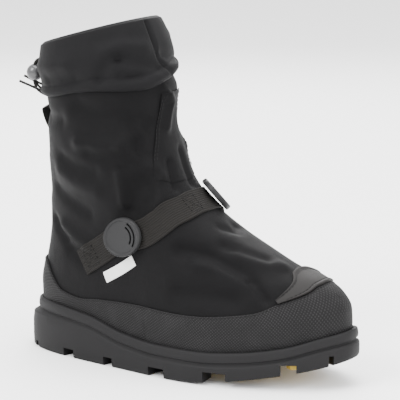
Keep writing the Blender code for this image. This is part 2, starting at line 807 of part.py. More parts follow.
def buckle_slots(radius):
    """A curved slot through the buckle, around its middle on the strap's side."""
    body = bmesh.new()
    rows = []
    for step in range(7):
        angle = math.radians(-48 + 16 * step)
        way = Vector((math.cos(angle), math.sin(angle), 0))
        near, far = way * (radius - BUCKLE_SLOT / 2), way * (radius + BUCKLE_SLOT / 2)
        deep, high = Vector((0, 0, -0.004)), Vector((0, 0, BUCKLE_THICKNESS + 0.004))
        rows.append([near + deep, far + deep, far + high, near + high])
    made = vertex_rows(body, rows)
    for first, second in zip(made, made[1:]):
        bridge(body, first, second, True)
    body.faces.new(made[0])
    body.faces.new(made[-1])
    return body


def buckle_place(spot, route):
    """Where a buckle sits: on the highest of the webbing under it, tilted as the last is there."""
    angle, up = math.radians(spot.turn), spot.up
    lift = LAY_GAP + WEBBING_THICKNESS + LAY_GAP
    centre = on_last(angle, up, lift)
    first, second = (on_last(math.radians(place.turn), place.up) for place in route)
    forward = (second - first).normalized()
    sideways = directions(angle, up)[2].cross(forward).normalized()
    out = Vector()
    under = []
    for ahead in (-0.5, -0.25, 0.0, 0.25, 0.5):
        spine = slide(angle, up, forward, BUCKLE_LENGTH * ahead)
        for across in (-0.4, 0.0, 0.4):
            place = slide(*spine, sideways, BUCKLE_WIDTH * across)
            out += directions(*place)[2]
            under.append(on_last(*place, lift))
    out.normalize()
    forward = (forward - out * forward.dot(out)).normalized()
    centre += out * max((point - centre).dot(out) for point in under)
    turned = Matrix((forward, out.cross(forward), out)).transposed().to_4x4()
    return Matrix.Translation(centre) @ turned


def make_buckle(name, spot, route, parts, cutters, plastic):
    place = buckle_place(spot, route)
    buckle = add_mesh(name, buckle_body(), plastic, parts)
    buckle.matrix_world = place
    for index, share in enumerate((0.58, 0.80)):
        slot = add_cutter(f"{name}_slot_{index}", buckle_slots(share * BUCKLE_WIDTH / 2), cutters)
        slot.matrix_world = place
        boolean(buckle, slot, "DIFFERENCE")
    return buckle


def make_pull_loop(parts, webbing):
    def rows(side):
        made = []
        for row in PULL_LOOP:
            out = LAY_GAP + row.out * LOOP_STAND_OFF + side * LOOP_THICKNESS
            line = []
            for step in range(5):
                place = slide(0, row.up, Vector((0, 1, 0)), LOOP_WIDTH * (step / 4 - 0.5))
                line.append(on_last(*place, out))
            made.append(line)
        return made

    return add_mesh("pull_loop", slab(rows(1), rows(0)), webbing, parts)


def make_cord_lock(parts, cutters, plastic, black):
    body = bmesh.new()
    bmesh.ops.create_uvsphere(
        body, u_segments=16, v_segments=10, radius=LOCK_RADIUS, matrix=Matrix.Translation(LOCK_CENTRE)
    )
    lock = add_mesh("cord_lock", body, plastic, parts)
    hole = bmesh.new()
    size = Matrix.Diagonal((LOCK_HOLE, LOCK_HOLE + CORD_SPACING, LOCK_RADIUS * 3, 1))
    bmesh.ops.create_cube(hole, size=1, matrix=Matrix.Translation(LOCK_CENTRE) @ size)
    boolean(lock, add_cutter("cord_hole", hole, cutters), "DIFFERENCE")

    sideways = Matrix.Rotation(math.radians(90), 4, "Y")
    button_start = LOCK_RADIUS * 0.55
    middle = Vector(LOCK_CENTRE) + Vector((button_start + BUTTON_LENGTH / 2, 0, 0))
    socket = bmesh.new()
    bmesh.ops.create_cone(
        socket, cap_ends=True, segments=16, radius1=BUTTON_RADIUS + FIT_GAP,
        radius2=BUTTON_RADIUS + FIT_GAP, depth=BUTTON_LENGTH + 2 * FIT_GAP,
        matrix=Matrix.Translation(middle) @ sideways,
    )
    boolean(lock, add_cutter("button_socket", socket, cutters), "DIFFERENCE")
    button = bmesh.new()
    bmesh.ops.create_cone(
        button, cap_ends=True, segments=16, radius1=BUTTON_RADIUS, radius2=BUTTON_RADIUS,
        depth=BUTTON_LENGTH, matrix=Matrix.Translation(middle) @ sideways,
    )
    add_mesh("cord_lock_button", button, black, parts)


def make_cord(name, route, offset, parts, cloth):
    """One end of the drawcord, a tube along the smooth curve through its own points."""
    shift = Vector((0, LOCK_CENTRE[1] + offset, 0))
    dense = catmull([Vector(point) + shift for point in route], 12)
    spacing = CORD_STEP * CORD_DIAMETER
    chosen = [dense[0]]
    for point in dense[1:]:
        if (point - chosen[-1]).length >= spacing:
            chosen.append(point)
    chosen[-1] = dense[-1]
    curve = bpy.data.curves.new(name, "CURVE")
    curve.dimensions = "3D"
    curve.bevel_depth = CORD_DIAMETER / 2
    curve.bevel_resolution = 2
    curve.use_fill_caps = True
    spline = curve.splines.new("POLY")
    spline.points.add(len(chosen) - 1)
    for point, place in zip(spline.points, chosen):
        point.co = (*place, 1)
    curve.materials.append(cloth)
    item = bpy.data.objects.new(name, curve)
    parts.objects.link(item)
    return item


def build():
    clear_scene()
    parts = new_collection("insulated_overboot")
    cutters = new_collection("cutters")
    nylon = material("upper_nylon", "nylon", 0.75)
    webbing = material("strap_webbing", "webbing", 0.8)
    plastic = material("buckle_plastic", "plastic", 0.45)

    make_outsole(parts, cutters, material("outsole_rubber", "rubber", 0.7))
    make_tread_insert(parts, cutters, material("tread_rubber", "tread", 0.6))
    make_insole(parts, material("insole_felt", "felt", 0.9))
    make_upper(parts, nylon)
    make_rand(parts, material("rand_cloth", "woven", 0.8))
    make_toe_cap(parts, material("toe_cap_rubber", "patch", 0.6))
    make_cuff(parts, material("cuff_nylon", "cuff", 0.75))
    make_closure_flap(parts, nylon)

    band("strap_webbing", STRAP_ROUTE, STRAP_WIDTH, WEBBING_THICKNESS, LAY_GAP, 4, webbing, parts)
    anchors = (("strap_anchor_lateral", LATERAL_ANCHOR_ROUTE), ("strap_anchor_medial", MEDIAL_ANCHOR_ROUTE))
    for name, route in anchors:
        band(name, route, STRAP_WIDTH, WEBBING_THICKNESS, LAY_GAP, 4, webbing, parts)
    make_buckle("buckle_lateral", LATERAL_BUCKLE, STRAP_ROUTE[:2], parts, cutters, plastic)
    make_buckle("buckle_medial", MEDIAL_BUCKLE, (STRAP_ROUTE[-1], STRAP_ROUTE[-2]), parts, cutters, plastic)
    tag = material("label_cloth", "tag", 0.7)
    band("side_label", LABEL_ROUTE, LABEL_WIDTH, LABEL_THICKNESS, LAY_GAP, 3, tag, parts, 2)
    make_pull_loop(parts, webbing)
    make_cord_lock(parts, cutters, material("lock_plastic", "plastic", 0.3), material("lock_button", "nylon", 0.5))
    cloth = material("drawcord_cloth", "cord", 0.8)
    make_cord("drawcord_a", CORD_A, CORD_SPACING / 2, parts, cloth)
    make_cord("drawcord_b", CORD_B, -CORD_SPACING / 2, parts, cloth)


build()
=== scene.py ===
"""The looks of the insulated overboot for the right foot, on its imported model.

Metres. +X points to the toe, +Y to the inner side, +Z up, with the origin under the heel. The
sizes, tables and the last's function are those of the CAD, repeated here at a finer step.
"""

import math
from collections import namedtuple

import bmesh
import bpy
import numpy as np
from mathutils import Matrix, Vector


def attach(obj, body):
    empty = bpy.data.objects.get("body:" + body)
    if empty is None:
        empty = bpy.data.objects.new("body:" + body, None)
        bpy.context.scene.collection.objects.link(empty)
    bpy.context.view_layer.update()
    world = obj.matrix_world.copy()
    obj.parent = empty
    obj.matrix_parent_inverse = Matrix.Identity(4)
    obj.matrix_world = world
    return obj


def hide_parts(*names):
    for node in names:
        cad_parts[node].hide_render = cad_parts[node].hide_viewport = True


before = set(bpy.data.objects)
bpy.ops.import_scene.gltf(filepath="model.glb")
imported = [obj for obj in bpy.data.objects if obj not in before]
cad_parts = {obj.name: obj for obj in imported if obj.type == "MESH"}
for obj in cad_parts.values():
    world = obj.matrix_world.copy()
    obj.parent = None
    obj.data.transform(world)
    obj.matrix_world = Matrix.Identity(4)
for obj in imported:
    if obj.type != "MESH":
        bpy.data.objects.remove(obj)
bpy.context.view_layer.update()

# Sole
SOLE_LENGTH = 0.328
BALL_WIDTH = 0.128
HEEL_SETBACK = 0.052
TOE_SPRING = 0.026
LUG_DEPTH = 0.009
SOLE_PLATE = 0.006
HEEL_RAISE = 0.006
RIM_HEIGHT = 0.046
RIM_BAND = 0.0125
GROOVE_DEPTH = 0.0028
HEEL_LEDGE = 0.0045
SLOT_WIDTH = 0.012
LUG_REACH = 0.021
INSERT_PLATE = 0.003

# Upper and what is laid over it
SHAFT_HEIGHT = 0.279
COLLAR_RISE = 0.027
UPPER_WALL = 0.003
INSOLE_THICKNESS = 0.004
RAND_THICKNESS = 0.0013
TOE_CAP_THICKNESS = 0.002
TOE_CAP_BEAD = 0.0007
FLAP_THICKNESS = 0.0012
CUFF_THICKNESS = 0.0028
CUFF_PUFF = 0.0030
CUFF_LIP = 0.0045
CUFF_INSIDE = 0.016

# Strap, buckles and trim
STRAP_WIDTH = 0.025
WEBBING_THICKNESS = 0.0018
BUCKLE_LENGTH = 0.041
BUCKLE_WIDTH = 0.035
BUCKLE_THICKNESS = 0.0052
BUCKLE_SLOT = 0.0018
BUCKLE_SLOT_FLOOR = 0.0012
BUCKLE_SLOT_PLACES = (0.58, 0.80)
BUCKLE_SLOT_TURNS = range(-48, 49, 6)
BUCKLE_SIDES = 96
BUCKLE_FLAT_TURN = math.radians(125)
BUCKLE_FLAT_DEPTH = 0.07
BUCKLE_GRIP_TURN = math.radians(250)
BUCKLE_GRIP_HEIGHT = 0.0004
BUCKLE_GRIPS = 46
LABEL_WIDTH = 0.010
LABEL_THICKNESS = 0.0007
LOOP_WIDTH = 0.020
LOOP_THICKNESS = 0.0016
LOOP_STAND_OFF = 0.0092
LOCK_RADIUS = 0.0077
LOCK_HOLE = 0.0034
BUTTON_RADIUS = 0.0044
BUTTON_LENGTH = 0.0075
CORD_DIAMETER = 0.0023
CORD_SPACING = 0.0027

# How far touching pieces stay apart
FIT_GAP = 0.0003
LAY_GAP = 0.0004

# along: share of SOLE_LENGTH from the heel's back. lateral, medial: half widths, shares of
# BALL_WIDTH. bottom: share of TOE_SPRING. rim: share of RIM_HEIGHT. heel: share of HEEL_RAISE
Sole = namedtuple("Sole", "along lateral medial bottom rim heel")
SOLE = [
    Sole(0.00, 0.370, 0.370, 0.00, 0.98, 1.00),
    Sole(0.10, 0.385, 0.380, 0.00, 1.00, 1.00),
    Sole(0.25, 0.400, 0.365, 0.00, 0.92, 0.75),
    Sole(0.38, 0.430, 0.345, 0.00, 0.70, 0.35),
    Sole(0.50, 0.475, 0.375, 0.00, 0.62, 0.10),
    Sole(0.62, 0.505, 0.450, 0.06, 0.62, 0.00),
    Sole(0.74, 0.490, 0.495, 0.26, 0.68, 0.00),
    Sole(0.85, 0.440, 0.480, 0.50, 0.80, 0.00),
    Sole(0.94, 0.380, 0.440, 0.76, 1.00, 0.00),
    Sole(1.00, 0.340, 0.400, 1.00, 1.12, 0.00),
]
SOLE_SQUARENESS = 2.5

# The side of the sole from the ground up. level: below the rim, a share of RIM_BAND, or, where
# from_ground is true, above the ground as a share of LUG_DEPTH. inset: share of GROOVE_DEPTH.
# ledge: share of HEEL_LEDGE, by which the heel's back steps in above its kick ledge
Step = namedtuple("Step", "from_ground level inset ledge")
SIDE_STEPS = [
    Step(True, 0.00, 0.50, 0.0),
    Step(True, 0.20, 0.00, 0.0),
    Step(False, 1.15, 0.00, 0.0),
    Step(False, 0.96, 0.25, 0.7),
    Step(False, 0.86, 1.00, 1.0),
    Step(False, 0.72, 1.00, 1.0),
    Step(False, 0.66, 0.35, 1.0),
    Step(False, 0.12, 0.60, 1.0),
    Step(False, 0.00, 1.05, 1.0),
]
# The rows of the cup's inside, from the rim down, as shares of its height
CUP_ROWS = [1.0, 0.75, 0.5, 0.25]
# How the ledge fades forward. along: share of SOLE_LENGTH, size: share of HEEL_LEDGE
Ledge = namedtuple("Ledge", "along size")
LEDGE = [Ledge(0.0, 1.0), Ledge(0.03, 0.9), Ledge(0.14, 0.15), Ledge(0.25, 0.0)]

# The gaps between the lugs, on both sides. along: share of SOLE_LENGTH, width: share of
# SLOT_WIDTH, height: share of LUG_DEPTH
Slot = namedtuple("Slot", "along width height")
SLOTS = [
    Slot(0.045, 0.45, 0.60),
    Slot(0.185, 1.05, 0.85),
    Slot(0.330, 0.85, 0.90),
    Slot(0.500, 1.45, 0.92),
    Slot(0.680, 1.75, 0.95),
    Slot(0.870, 1.15, 0.95),
    Slot(0.965, 0.35, 0.95),
]

# The last's rings, from the footbed to the collar. back_x, front_x: shares of SOLE_LENGTH from
# the origin. back_up, front_up: shares of the height from the footbed there to the collar.
# lateral, medial: half widths as shares of BALL_WIDTH. foot: 1 follows the sole's outline and
# the footbed, 0 is a plain tilted oval. square: the oval's exponent
Ring = namedtuple("Ring", "up back_x back_up front_x front_up lateral medial foot square")
RINGS = [
    Ring(0, -0.122, 0.000, 0.805, 0.000, 0.435, 0.435, 1.00, 2.50),
    Ring(1, -0.122, 0.097, 0.817, 0.052, 0.443, 0.443, 1.00, 2.50),
    Ring(2, -0.122, 0.159, 0.814, 0.106, 0.452, 0.448, 0.95, 2.50),
    Ring(3, -0.113, 0.229, 0.790, 0.160, 0.446, 0.441, 0.90, 2.45),
    Ring(4, -0.101, 0.306, 0.741, 0.207, 0.428, 0.423, 0.80, 2.40),
    Ring(5, -0.095, 0.376, 0.671, 0.248, 0.404, 0.399, 0.65, 2.35),
    Ring(6, -0.095, 0.446, 0.591, 0.302, 0.382, 0.377, 0.50, 2.30),
    Ring(7, -0.091, 0.508, 0.509, 0.355, 0.370, 0.362, 0.35, 2.30),
    Ring(8, -0.091, 0.578, 0.427, 0.411, 0.370, 0.360, 0.20, 2.30),
    Ring(9, -0.088, 0.640, 0.357, 0.478, 0.375, 0.370, 0.10, 2.30),
    Ring(10, -0.085, 0.698, 0.308, 0.562, 0.380, 0.380, 0.00, 2.30),
    Ring(11, -0.085, 0.791, 0.274, 0.673, 0.385, 0.385, 0.00, 2.30),
    Ring(12, -0.087, 0.888, 0.262, 0.787, 0.388, 0.388, 0.00, 2.30),
    Ring(13, -0.087, 1.000, 0.207, 1.000, 0.375, 0.375, 0.00, 2.30),
]
COLLAR = RINGS[-1].up

# The rand's upper edge on either side. turn: degrees from the back, up: rings
RandTop = namedtuple("RandTop", "turn up")
RAND_TOP = [
    RandTop(0, 3.20), RandTop(22, 3.10), RandTop(35, 2.50), RandTop(46, 1.90), RandTop(56, 1.80),
    RandTop(69, 2.10), RandTop(87, 2.45), RandTop(110, 2.55), RandTop(122, 2.65),
    RandTop(134, 3.05), RandTop(154, 3.45), RandTop(168, 3.75), RandTop(180, 3.82),
]
RAND_START = 0.2
# Its rows. place: share of the way up, thick: share of RAND_THICKNESS, which thins at the edge
RandRow = namedtuple("RandRow", "place thick")
RAND_ROWS = [RandRow(place, 1.0) for place in np.linspace(0, 0.9, 24)]
RAND_ROWS += [RandRow(0.93, 1.0), RandRow(0.96, 1.0), RandRow(0.985, 0.8), RandRow(1.0, 0.5)]

# The toe cap between the rand and its own back edge. turn: degrees from the back, up: rings
ToeCap = namedtuple("ToeCap", "turn back")
TOE_CAP = [
    ToeCap(134, 3.30), ToeCap(140, 3.62), ToeCap(154, 4.30), ToeCap(168, 4.92), ToeCap(180, 5.08),
]
TOE_CAP_TURN = 134
TOE_CAP_SEAM = 0.03
# The raised bead around it. place: share of the way across the cap, out: share of TOE_CAP_BEAD
Bead = namedtuple("Bead", "place out")
BEAD = [
    Bead(0.00, 0.4), Bead(0.04, 1.0), Bead(0.09, 0.9), Bead(0.14, 0.0), Bead(0.50, 0.0),
    Bead(0.86, 0.0), Bead(0.91, 0.9), Bead(0.96, 1.0), Bead(1.00, 0.4),
]

# The cuff's lower edge. turn: degrees around, up: rings, lip: share of CUFF_LIP
CuffEdge = namedtuple("CuffEdge", "turn up lip")
CUFF_EDGE = [
    CuffEdge(0, 11.42, 0.0), CuffEdge(51, 11.70, 0.0), CuffEdge(105, 12.05, 0.2),
    CuffEdge(150, 12.28, 1.0), CuffEdge(183, 12.15, 0.5), CuffEdge(208, 12.05, 0.1),
    CuffEdge(255, 12.00, 0.0), CuffEdge(309, 11.55, 0.0), CuffEdge(360, 11.42, 0.0),
]
# The cuff's section, outside, over the collar and down inside. place: share of the way from its
# edge to the collar, rise: above the collar, out: from the last, both shares of CUFF_THICKNESS,
# puff: share of CUFF_PUFF, lip: share of the edge's lip
Fold = namedtuple("Fold", "place rise out puff lip")
CUFF_OUTSIDE = [
    Fold(0.00, 0.0, 0.80, 0.0, 0.8),
    Fold(0.04, 0.0, 1.25, 0.1, 1.0),
    Fold(0.14, 0.0, 1.30, 0.3, 1.0),
    Fold(0.30, 0.0, 1.10, 0.5, 0.7),
    Fold(0.60, 0.0, 1.10, 1.0, 0.3),
    Fold(0.86, 0.0, 1.10, 0.7, 0.1),
    Fold(1.00, 0.1, 1.00, 0.3, 0.0),
    Fold(1.00, 0.9, 0.30, 0.0, 0.0),
]

# The closure flap's edges. up: rings, lateral, medial: degrees around
Flap = namedtuple("Flap", "up lateral medial")
FLAP = [
    Flap(9.5, 219, 146), Flap(10, 214, 143), Flap(10.5, 206, 143), Flap(11, 197, 146),
    Flap(11.5, 191, 150), Flap(12, 187, 152),
]
FLAP_TOP = 11.94

# Routes over the last, as angles around in degrees and rings up
Spot = namedtuple("Spot", "turn up")
STRAP_ROUTE = [
    Spot(269, 6.12), Spot(264, 6.40), Spot(247.5, 7.30), Spot(226.5, 8.10), Spot(199.5, 8.60),
    Spot(181.5, 8.70), Spot(164, 8.64), Spot(152, 8.50),
]
LATERAL_ANCHOR_ROUTE = [Spot(276, 5.75), Spot(283.5, 5.20), Spot(295.5, 4.20), Spot(302, 3.65)]
MEDIAL_ANCHOR_ROUTE = [
    Spot(145, 8.35), Spot(130, 7.90), Spot(110, 7.00), Spot(92, 5.75), Spot(80, 4.70),
]
LATERAL_BUCKLE = Spot(273, 5.92)
MEDIAL_BUCKLE = Spot(149, 8.44)
LABEL_ROUTE = [Spot(289.5, 3.30), Spot(282, 3.95), Spot(274.5, 4.70)]

# The pull loop from top to bottom. up: rings, out: share of LOOP_STAND_OFF
Loop = namedtuple("Loop", "up out")
PULL_LOOP = [
    Loop(11.22, 0.00), Loop(11.04, 0.02), Loop(10.94, 0.45), Loop(10.82, 0.96),
    Loop(10.72, 1.00), Loop(10.52, 0.84), Loop(10.26, 0.56), Loop(10.02, 0.22),
    Loop(9.86, 0.02), Loop(9.60, 0.00),
]

# The drawcord's two ends, each along its own route
LOCK_CENTRE = (-0.0500, -0.0040, 0.2522)
CORD_A = [
    (-0.0347, 0.0, 0.2638), (-0.0410, 0.0, 0.2652), (-0.0458, 0.0, 0.2643),
    (-0.0492, 0.0, 0.2608), (-0.0500, 0.0, 0.2560), (-0.0500, 0.0, 0.2500),
    (-0.0500, 0.0000, 0.2440), (-0.0486, 0.0026, 0.2388), (-0.0450, 0.0076, 0.2352),
    (-0.0416, 0.0128, 0.2336), (-0.0424, 0.0176, 0.2334), (-0.0466, 0.0182, 0.2352),
    (-0.0520, 0.0146, 0.2386), (-0.0580, 0.0104, 0.2422), (-0.0668, 0.0052, 0.2474),
]
CORD_B = [
    (-0.0347, 0.0, 0.2638), (-0.0410, 0.0, 0.2652), (-0.0458, 0.0, 0.2643),
    (-0.0492, 0.0, 0.2608), (-0.0500, 0.0, 0.2560), (-0.0500, 0.0, 0.2500),
    (-0.0500, 0.0000, 0.2436), (-0.0480, 0.0014, 0.2370), (-0.0438, 0.0058, 0.2322),
    (-0.0408, 0.0112, 0.2302), (-0.0420, 0.0158, 0.2298), (-0.0466, 0.0156, 0.2314),
    (-0.0524, 0.0110, 0.2348), (-0.0586, 0.0062, 0.2386), (-0.0672, 0.0006, 0.2432),
]

# Fineness of the visible surfaces
FINE = 300
UPPER_FINE = 150
INNER_FINE = 60
# How much of a trough shows on the inside of the upper
TROUGH_INSIDE = 0.9

# The soft folds, troughs below 0 and ridges above. depth: share of FOLD_DEPTH, width: share of
# FOLD_WIDTH, spots: turn and rings up of the line it follows
FOLD_DEPTH = 0.0040
FOLD_WIDTH = 0.0080
Crease = namedtuple("Crease", "depth width spots")
FOLDS = [Crease(*row) for row in (
    (1.0, 0.8, [(276, 10.30), (262, 10.32), (241, 10.55), (219, 11.00)]),
    (0.8, 0.7, [(241, 10.50), (229, 10.25), (216, 10.05), (210, 9.70)]),
    (-1.1, 0.8, [(222, 10.95), (220, 10.70), (222, 10.40), (221, 10.20)]),
    (-0.9, 1.0, [(272, 11.45), (255, 11.30), (237, 11.35), (207, 11.10)]),
    (-0.7, 0.8, [(270, 10.02), (255, 9.95), (238, 10.05)]),
    (-1.8, 1.6, [(236, 9.20), (247, 8.55), (257, 7.85)]),
    (0.9, 0.6, [(250, 9.60), (255, 8.80), (262, 7.95)]),
    (0.8, 0.8, [(216, 9.40), (222, 8.90), (232, 8.50)]),
    (-0.9, 0.7, [(331, 5.25), (323, 4.85), (316, 4.50)]),
    (-0.9, 0.8, [(311, 4.05), (306, 3.95), (301, 3.90)]),
    (0.6, 0.8, [(318, 5.20), (308, 4.85), (300, 4.60)]),
    (-1.3, 0.9, [(249, 6.00), (241, 6.05), (235, 5.95), (229, 5.25), (226, 4.75)]),
    (0.9, 0.9, [(246, 5.35), (238, 5.35), (233, 4.85), (230, 4.45)]),
    (-1.2, 1.1, [(263, 3.60), (252, 3.62), (244, 3.45)]),
    (-0.9, 0.6, [(228, 4.50), (229, 3.95), (230, 3.40)]),
    (-0.8, 0.7, [(214, 6.60), (205, 6.10), (196, 5.75)]),
    (0.7, 0.9, [(212, 6.10), (202, 5.65), (190, 5.40)]),
    (-0.7, 0.7, [(190, 7.60), (180, 7.30), (168, 7.45)]),
    (-0.8, 0.5, [(194, 10.10), (197, 9.70), (200, 9.30)]),
    (-0.7, 0.6, [(172, 10.35), (174, 9.90), (175, 9.35)]),
    (0.9, 0.6, [(181, 11.90), (176, 11.70), (181, 11.30), (184, 11.05)]),
    (0.8, 1.2, [(178, 11.95), (160, 12.00), (140, 12.00)]),
    (-0.8, 0.9, [(300, 9.20), (288, 8.95), (272, 9.10)]),
    (0.7, 1.1, [(306, 8.40), (292, 8.10), (276, 8.10)]),
    (-0.7, 0.8, [(320, 7.20), (306, 6.85), (292, 6.45)]),
    (-0.8, 0.9, [(335, 11.00), (318, 10.75), (294, 10.85)]),
    (-1.0, 1.0, [(90, 10.40), (108, 10.30), (128, 10.65), (146, 11.00)]),
    (0.9, 0.9, [(84, 9.90), (104, 9.75), (124, 10.00), (140, 10.30)]),
    (-1.4, 1.3, [(122, 9.20), (112, 8.60), (102, 7.90)]),
    (-0.9, 0.9, [(112, 6.10), (122, 5.90), (132, 5.20)]),
    (-0.9, 0.9, [(98, 3.70), (110, 3.60), (122, 3.55)]),
    (-0.8, 0.9, [(40, 5.20), (52, 4.70), (62, 4.20)]),
    (0.7, 1.0, [(50, 8.30), (68, 8.00), (86, 8.10)]),
    (-0.8, 0.9, [(36, 9.30), (58, 9.10), (80, 9.35)]),
    (0.6, 1.0, [(352, 8.60), (8, 8.40), (26, 8.70)]),
)]
CUFF_FOLDS = [Crease(*row) for row in (
    (-0.8, 0.6, [(251, 12.25), (246, 12.42), (239, 12.52), (229, 12.55)]),
    (-0.7, 0.6, [(228, 12.57), (208, 12.47), (187, 12.36)]),
    (-0.6, 0.5, [(231, 12.30), (220, 12.28), (210, 12.30)]),
    (-0.7, 0.7, [(179, 12.52), (165, 12.46), (150, 12.40)]),
    (0.6, 0.8, [(240, 12.66), (222, 12.70), (200, 12.64)]),
    (-0.6, 0.8, [(300, 12.10), (286, 12.22), (272, 12.20)]),
    (0.6, 0.9, [(318, 12.40), (298, 12.45), (276, 12.50)]),
    (-0.6, 0.8, [(20, 12.30), (40, 12.20), (62, 12.35)]),
    (-0.7, 0.8, [(80, 12.55), (100, 12.45), (122, 12.55)]),
    (0.6, 0.8, [(90, 12.75), (112, 12.70), (134, 12.76)]),
    (-0.5, 0.25, [(187.5, 12.95), (187.5, 12.70), (186, 12.50), (177, 12.30)]),
)]

# The stitched lines of the flap, each as turns and rings up
FLAP_SEAMS = [
    [(185.5, 11.90), (190.5, 11.60), (199.5, 10.85), (205.5, 10.48), (211.5, 10.15)],
    [(183.5, 11.90), (188.0, 11.60), (196.5, 10.85), (202.5, 10.48), (208.5, 10.15)],
    [(153.0, 11.90), (150.0, 11.40), (146.0, 10.80), (145.5, 10.20), (146.5, 9.70)],
    [(155.0, 11.90), (152.0, 11.40), (148.5, 10.80), (148.0, 10.20), (149.0, 9.70)],
]

# The seams pressed in as grooves, each as turns and rings up, with their width and depth
RAND_SEAMS = [[(273.5, 0.3), (273.5, 2.4)], [(181.5, 0.5), (184.5, 2.9)]]
RAND_SEAM_WIDTH = 0.0013
RAND_SEAM_DEPTH = 0.0012
CUFF_SEAM = [(187.5, 12.98), (187.5, 12.70), (186, 12.50), (177, 12.24)]
CUFF_SEAM_WIDTH = 0.0012
CUFF_SEAM_DEPTH = 0.0010

# The roll along the cuff's edge and the dip above it. place, width: shares of the way up
Roll = namedtuple("Roll", "height place width")
CUFF_ROLLS = [Roll(0.0011, 0.10, 0.07), Roll(-0.0010, 0.24, 0.03)]
# The cuff where it turns over the collar. inward, rise: shares of CUFF_THICKNESS
Turn = namedtuple("Turn", "inward rise")
CUFF_TURNS = [Turn(0.4, 0.9), Turn(0.75, 0.5), Turn(0.8, 0)]

# The insole's rows. height: share of INSOLE_THICKNESS, shrink: share of the way to its middle
InsoleRow = namedtuple("InsoleRow", "height shrink")
INSOLE_ROWS = [
    InsoleRow(0.0, 0.0), InsoleRow(0.7, 0.0), InsoleRow(0.93, 0.006), InsoleRow(1.0, 0.018),
    InsoleRow(1.0, 0.10),
]

# Colours, each as the two tones of a surface
NYLON = (0.0025, 0.0024, 0.0026)
NYLON_LIGHT = (0.0053, 0.0050, 0.0055)
CUFF_DARK = (0.0043, 0.0042, 0.0045)
CUFF_LIGHT = (0.0077, 0.0074, 0.0081)
WOVEN_DARK = (0.0056, 0.0054, 0.0056)
WOVEN_LIGHT = (0.0186, 0.0180, 0.0186)
PATCH_DARK = (0.0118, 0.0112, 0.0109)
PATCH_LIGHT = (0.0174, 0.0164, 0.0160)
RUBBER_DARK = (0.0065, 0.0063, 0.0066)
RUBBER_LIGHT = (0.0102, 0.0099, 0.0103)
TREAD_DARK = (0.330, 0.220, 0.040)
TREAD_LIGHT = (0.500, 0.350, 0.070)
FELT_DARK = (0.0124, 0.0122, 0.0124)
FELT_LIGHT = (0.0236, 0.0229, 0.0231)
WEBBING_DARK = (0.0050, 0.0045, 0.0041)
WEBBING_LIGHT = (0.0143, 0.0129, 0.0118)
LOOP_DARK = (0.0056, 0.0052, 0.0038)
LOOP_LIGHT = (0.0136, 0.0127, 0.0099)
BUCKLE_DARK = (0.0124, 0.0124, 0.0128)
BUCKLE_LIGHT = (0.0180, 0.0180, 0.0186)
LABEL_DARK = (0.560, 0.560, 0.550)
LABEL_LIGHT = (0.740, 0.740, 0.730)
LOCK_DARK = (0.0279, 0.0279, 0.0291)
LOCK_LIGHT = (0.0403, 0.0403, 0.0422)
BUTTON_DARK = (0.0025, 0.0025, 0.0025)
BUTTON_LIGHT = (0.0043, 0.0043, 0.0043)
CORD_DARK = (0.0099, 0.0096, 0.0093)
CORD_LIGHT = (0.0279, 0.0273, 0.0260)
THREAD_DARK = (0.0037, 0.0036, 0.0037)
THREAD_LIGHT = (0.0087, 0.0084, 0.0087)

# Camera
VIEW_AZIMUTH = math.radians(30)
VIEW_ELEVATION = math.radians(11)
VIEW_DISTANCE = 1.8
VIEW_TARGET = Vector((0.122, 0.0, 0.149))
VIEW_LENS = 183.06
VIEW_SENSOR = 36

# Floor, world and lights. place, target and size in metres
FLOOR_REACH = 6.0
FLOOR_DROP = 0.0002
FLOOR_COLOUR = (0.92, 0.92, 0.92, 1)
WORLD_STRENGTH = 2.3
Light = namedtuple("Light", "name place target size watts")
LIGHTS = [
    Light("key", (-0.6, -1.6, 1.7), (0.1, 0, 0.12), 1.2, 80),
    Light("front", (1.7, -0.7, 0.9), (0.1, 0, 0.12), 1.0, 30),
    Light("top", (0.2, 0.3, 2.2), (0.1, 0, 0.1), 1.6, 80),
    Light("back", (-0.8, 1.5, 1.2), (0.1, 0, 0.15), 1.2, 30),
]

# Stitches and ribs
STITCH_LENGTH = 0.0026
STITCH_GAP = 0.0012
STITCH_RADIUS = 0.00038
STITCH_START = 0.0005
STITCH_SIDES = 6
# place: share of the stitch's length, size: share of STITCH_RADIUS
StitchRing = namedtuple("StitchRing", "place size")
STITCH_RINGS = [StitchRing(0.0, 0.25), StitchRing(0.2, 0.9), StitchRing(0.8, 0.9), StitchRing(1.0, 0.25)]
# The crossed boxes sewn on the webbing: where each starts and the spot that it runs towards
Box = namedtuple("Box", "start towards")
STITCH_BOXES = [
    Box((300.5, 3.80), (291.0, 4.62)), Box((84.0, 5.05), (94.0, 5.85)), Box((186.0, 8.68), (196.0, 8.63)),
]
# The corners of a box in the order of sewing, ahead and across in metres
BOX_CORNERS = [
    (0.002, -0.009), (0.002, 0.009), (0.016, 0.009), (0.016, -0.009), (0.002, -0.009),
    (0.016, 0.009), (0.016, -0.009), (0.002, 0.009),
]
BOX_STEPS = 12
RIB_COUNT = 12
RIB_DEPTH = 0.00045


# Reading the tables, for many places at once


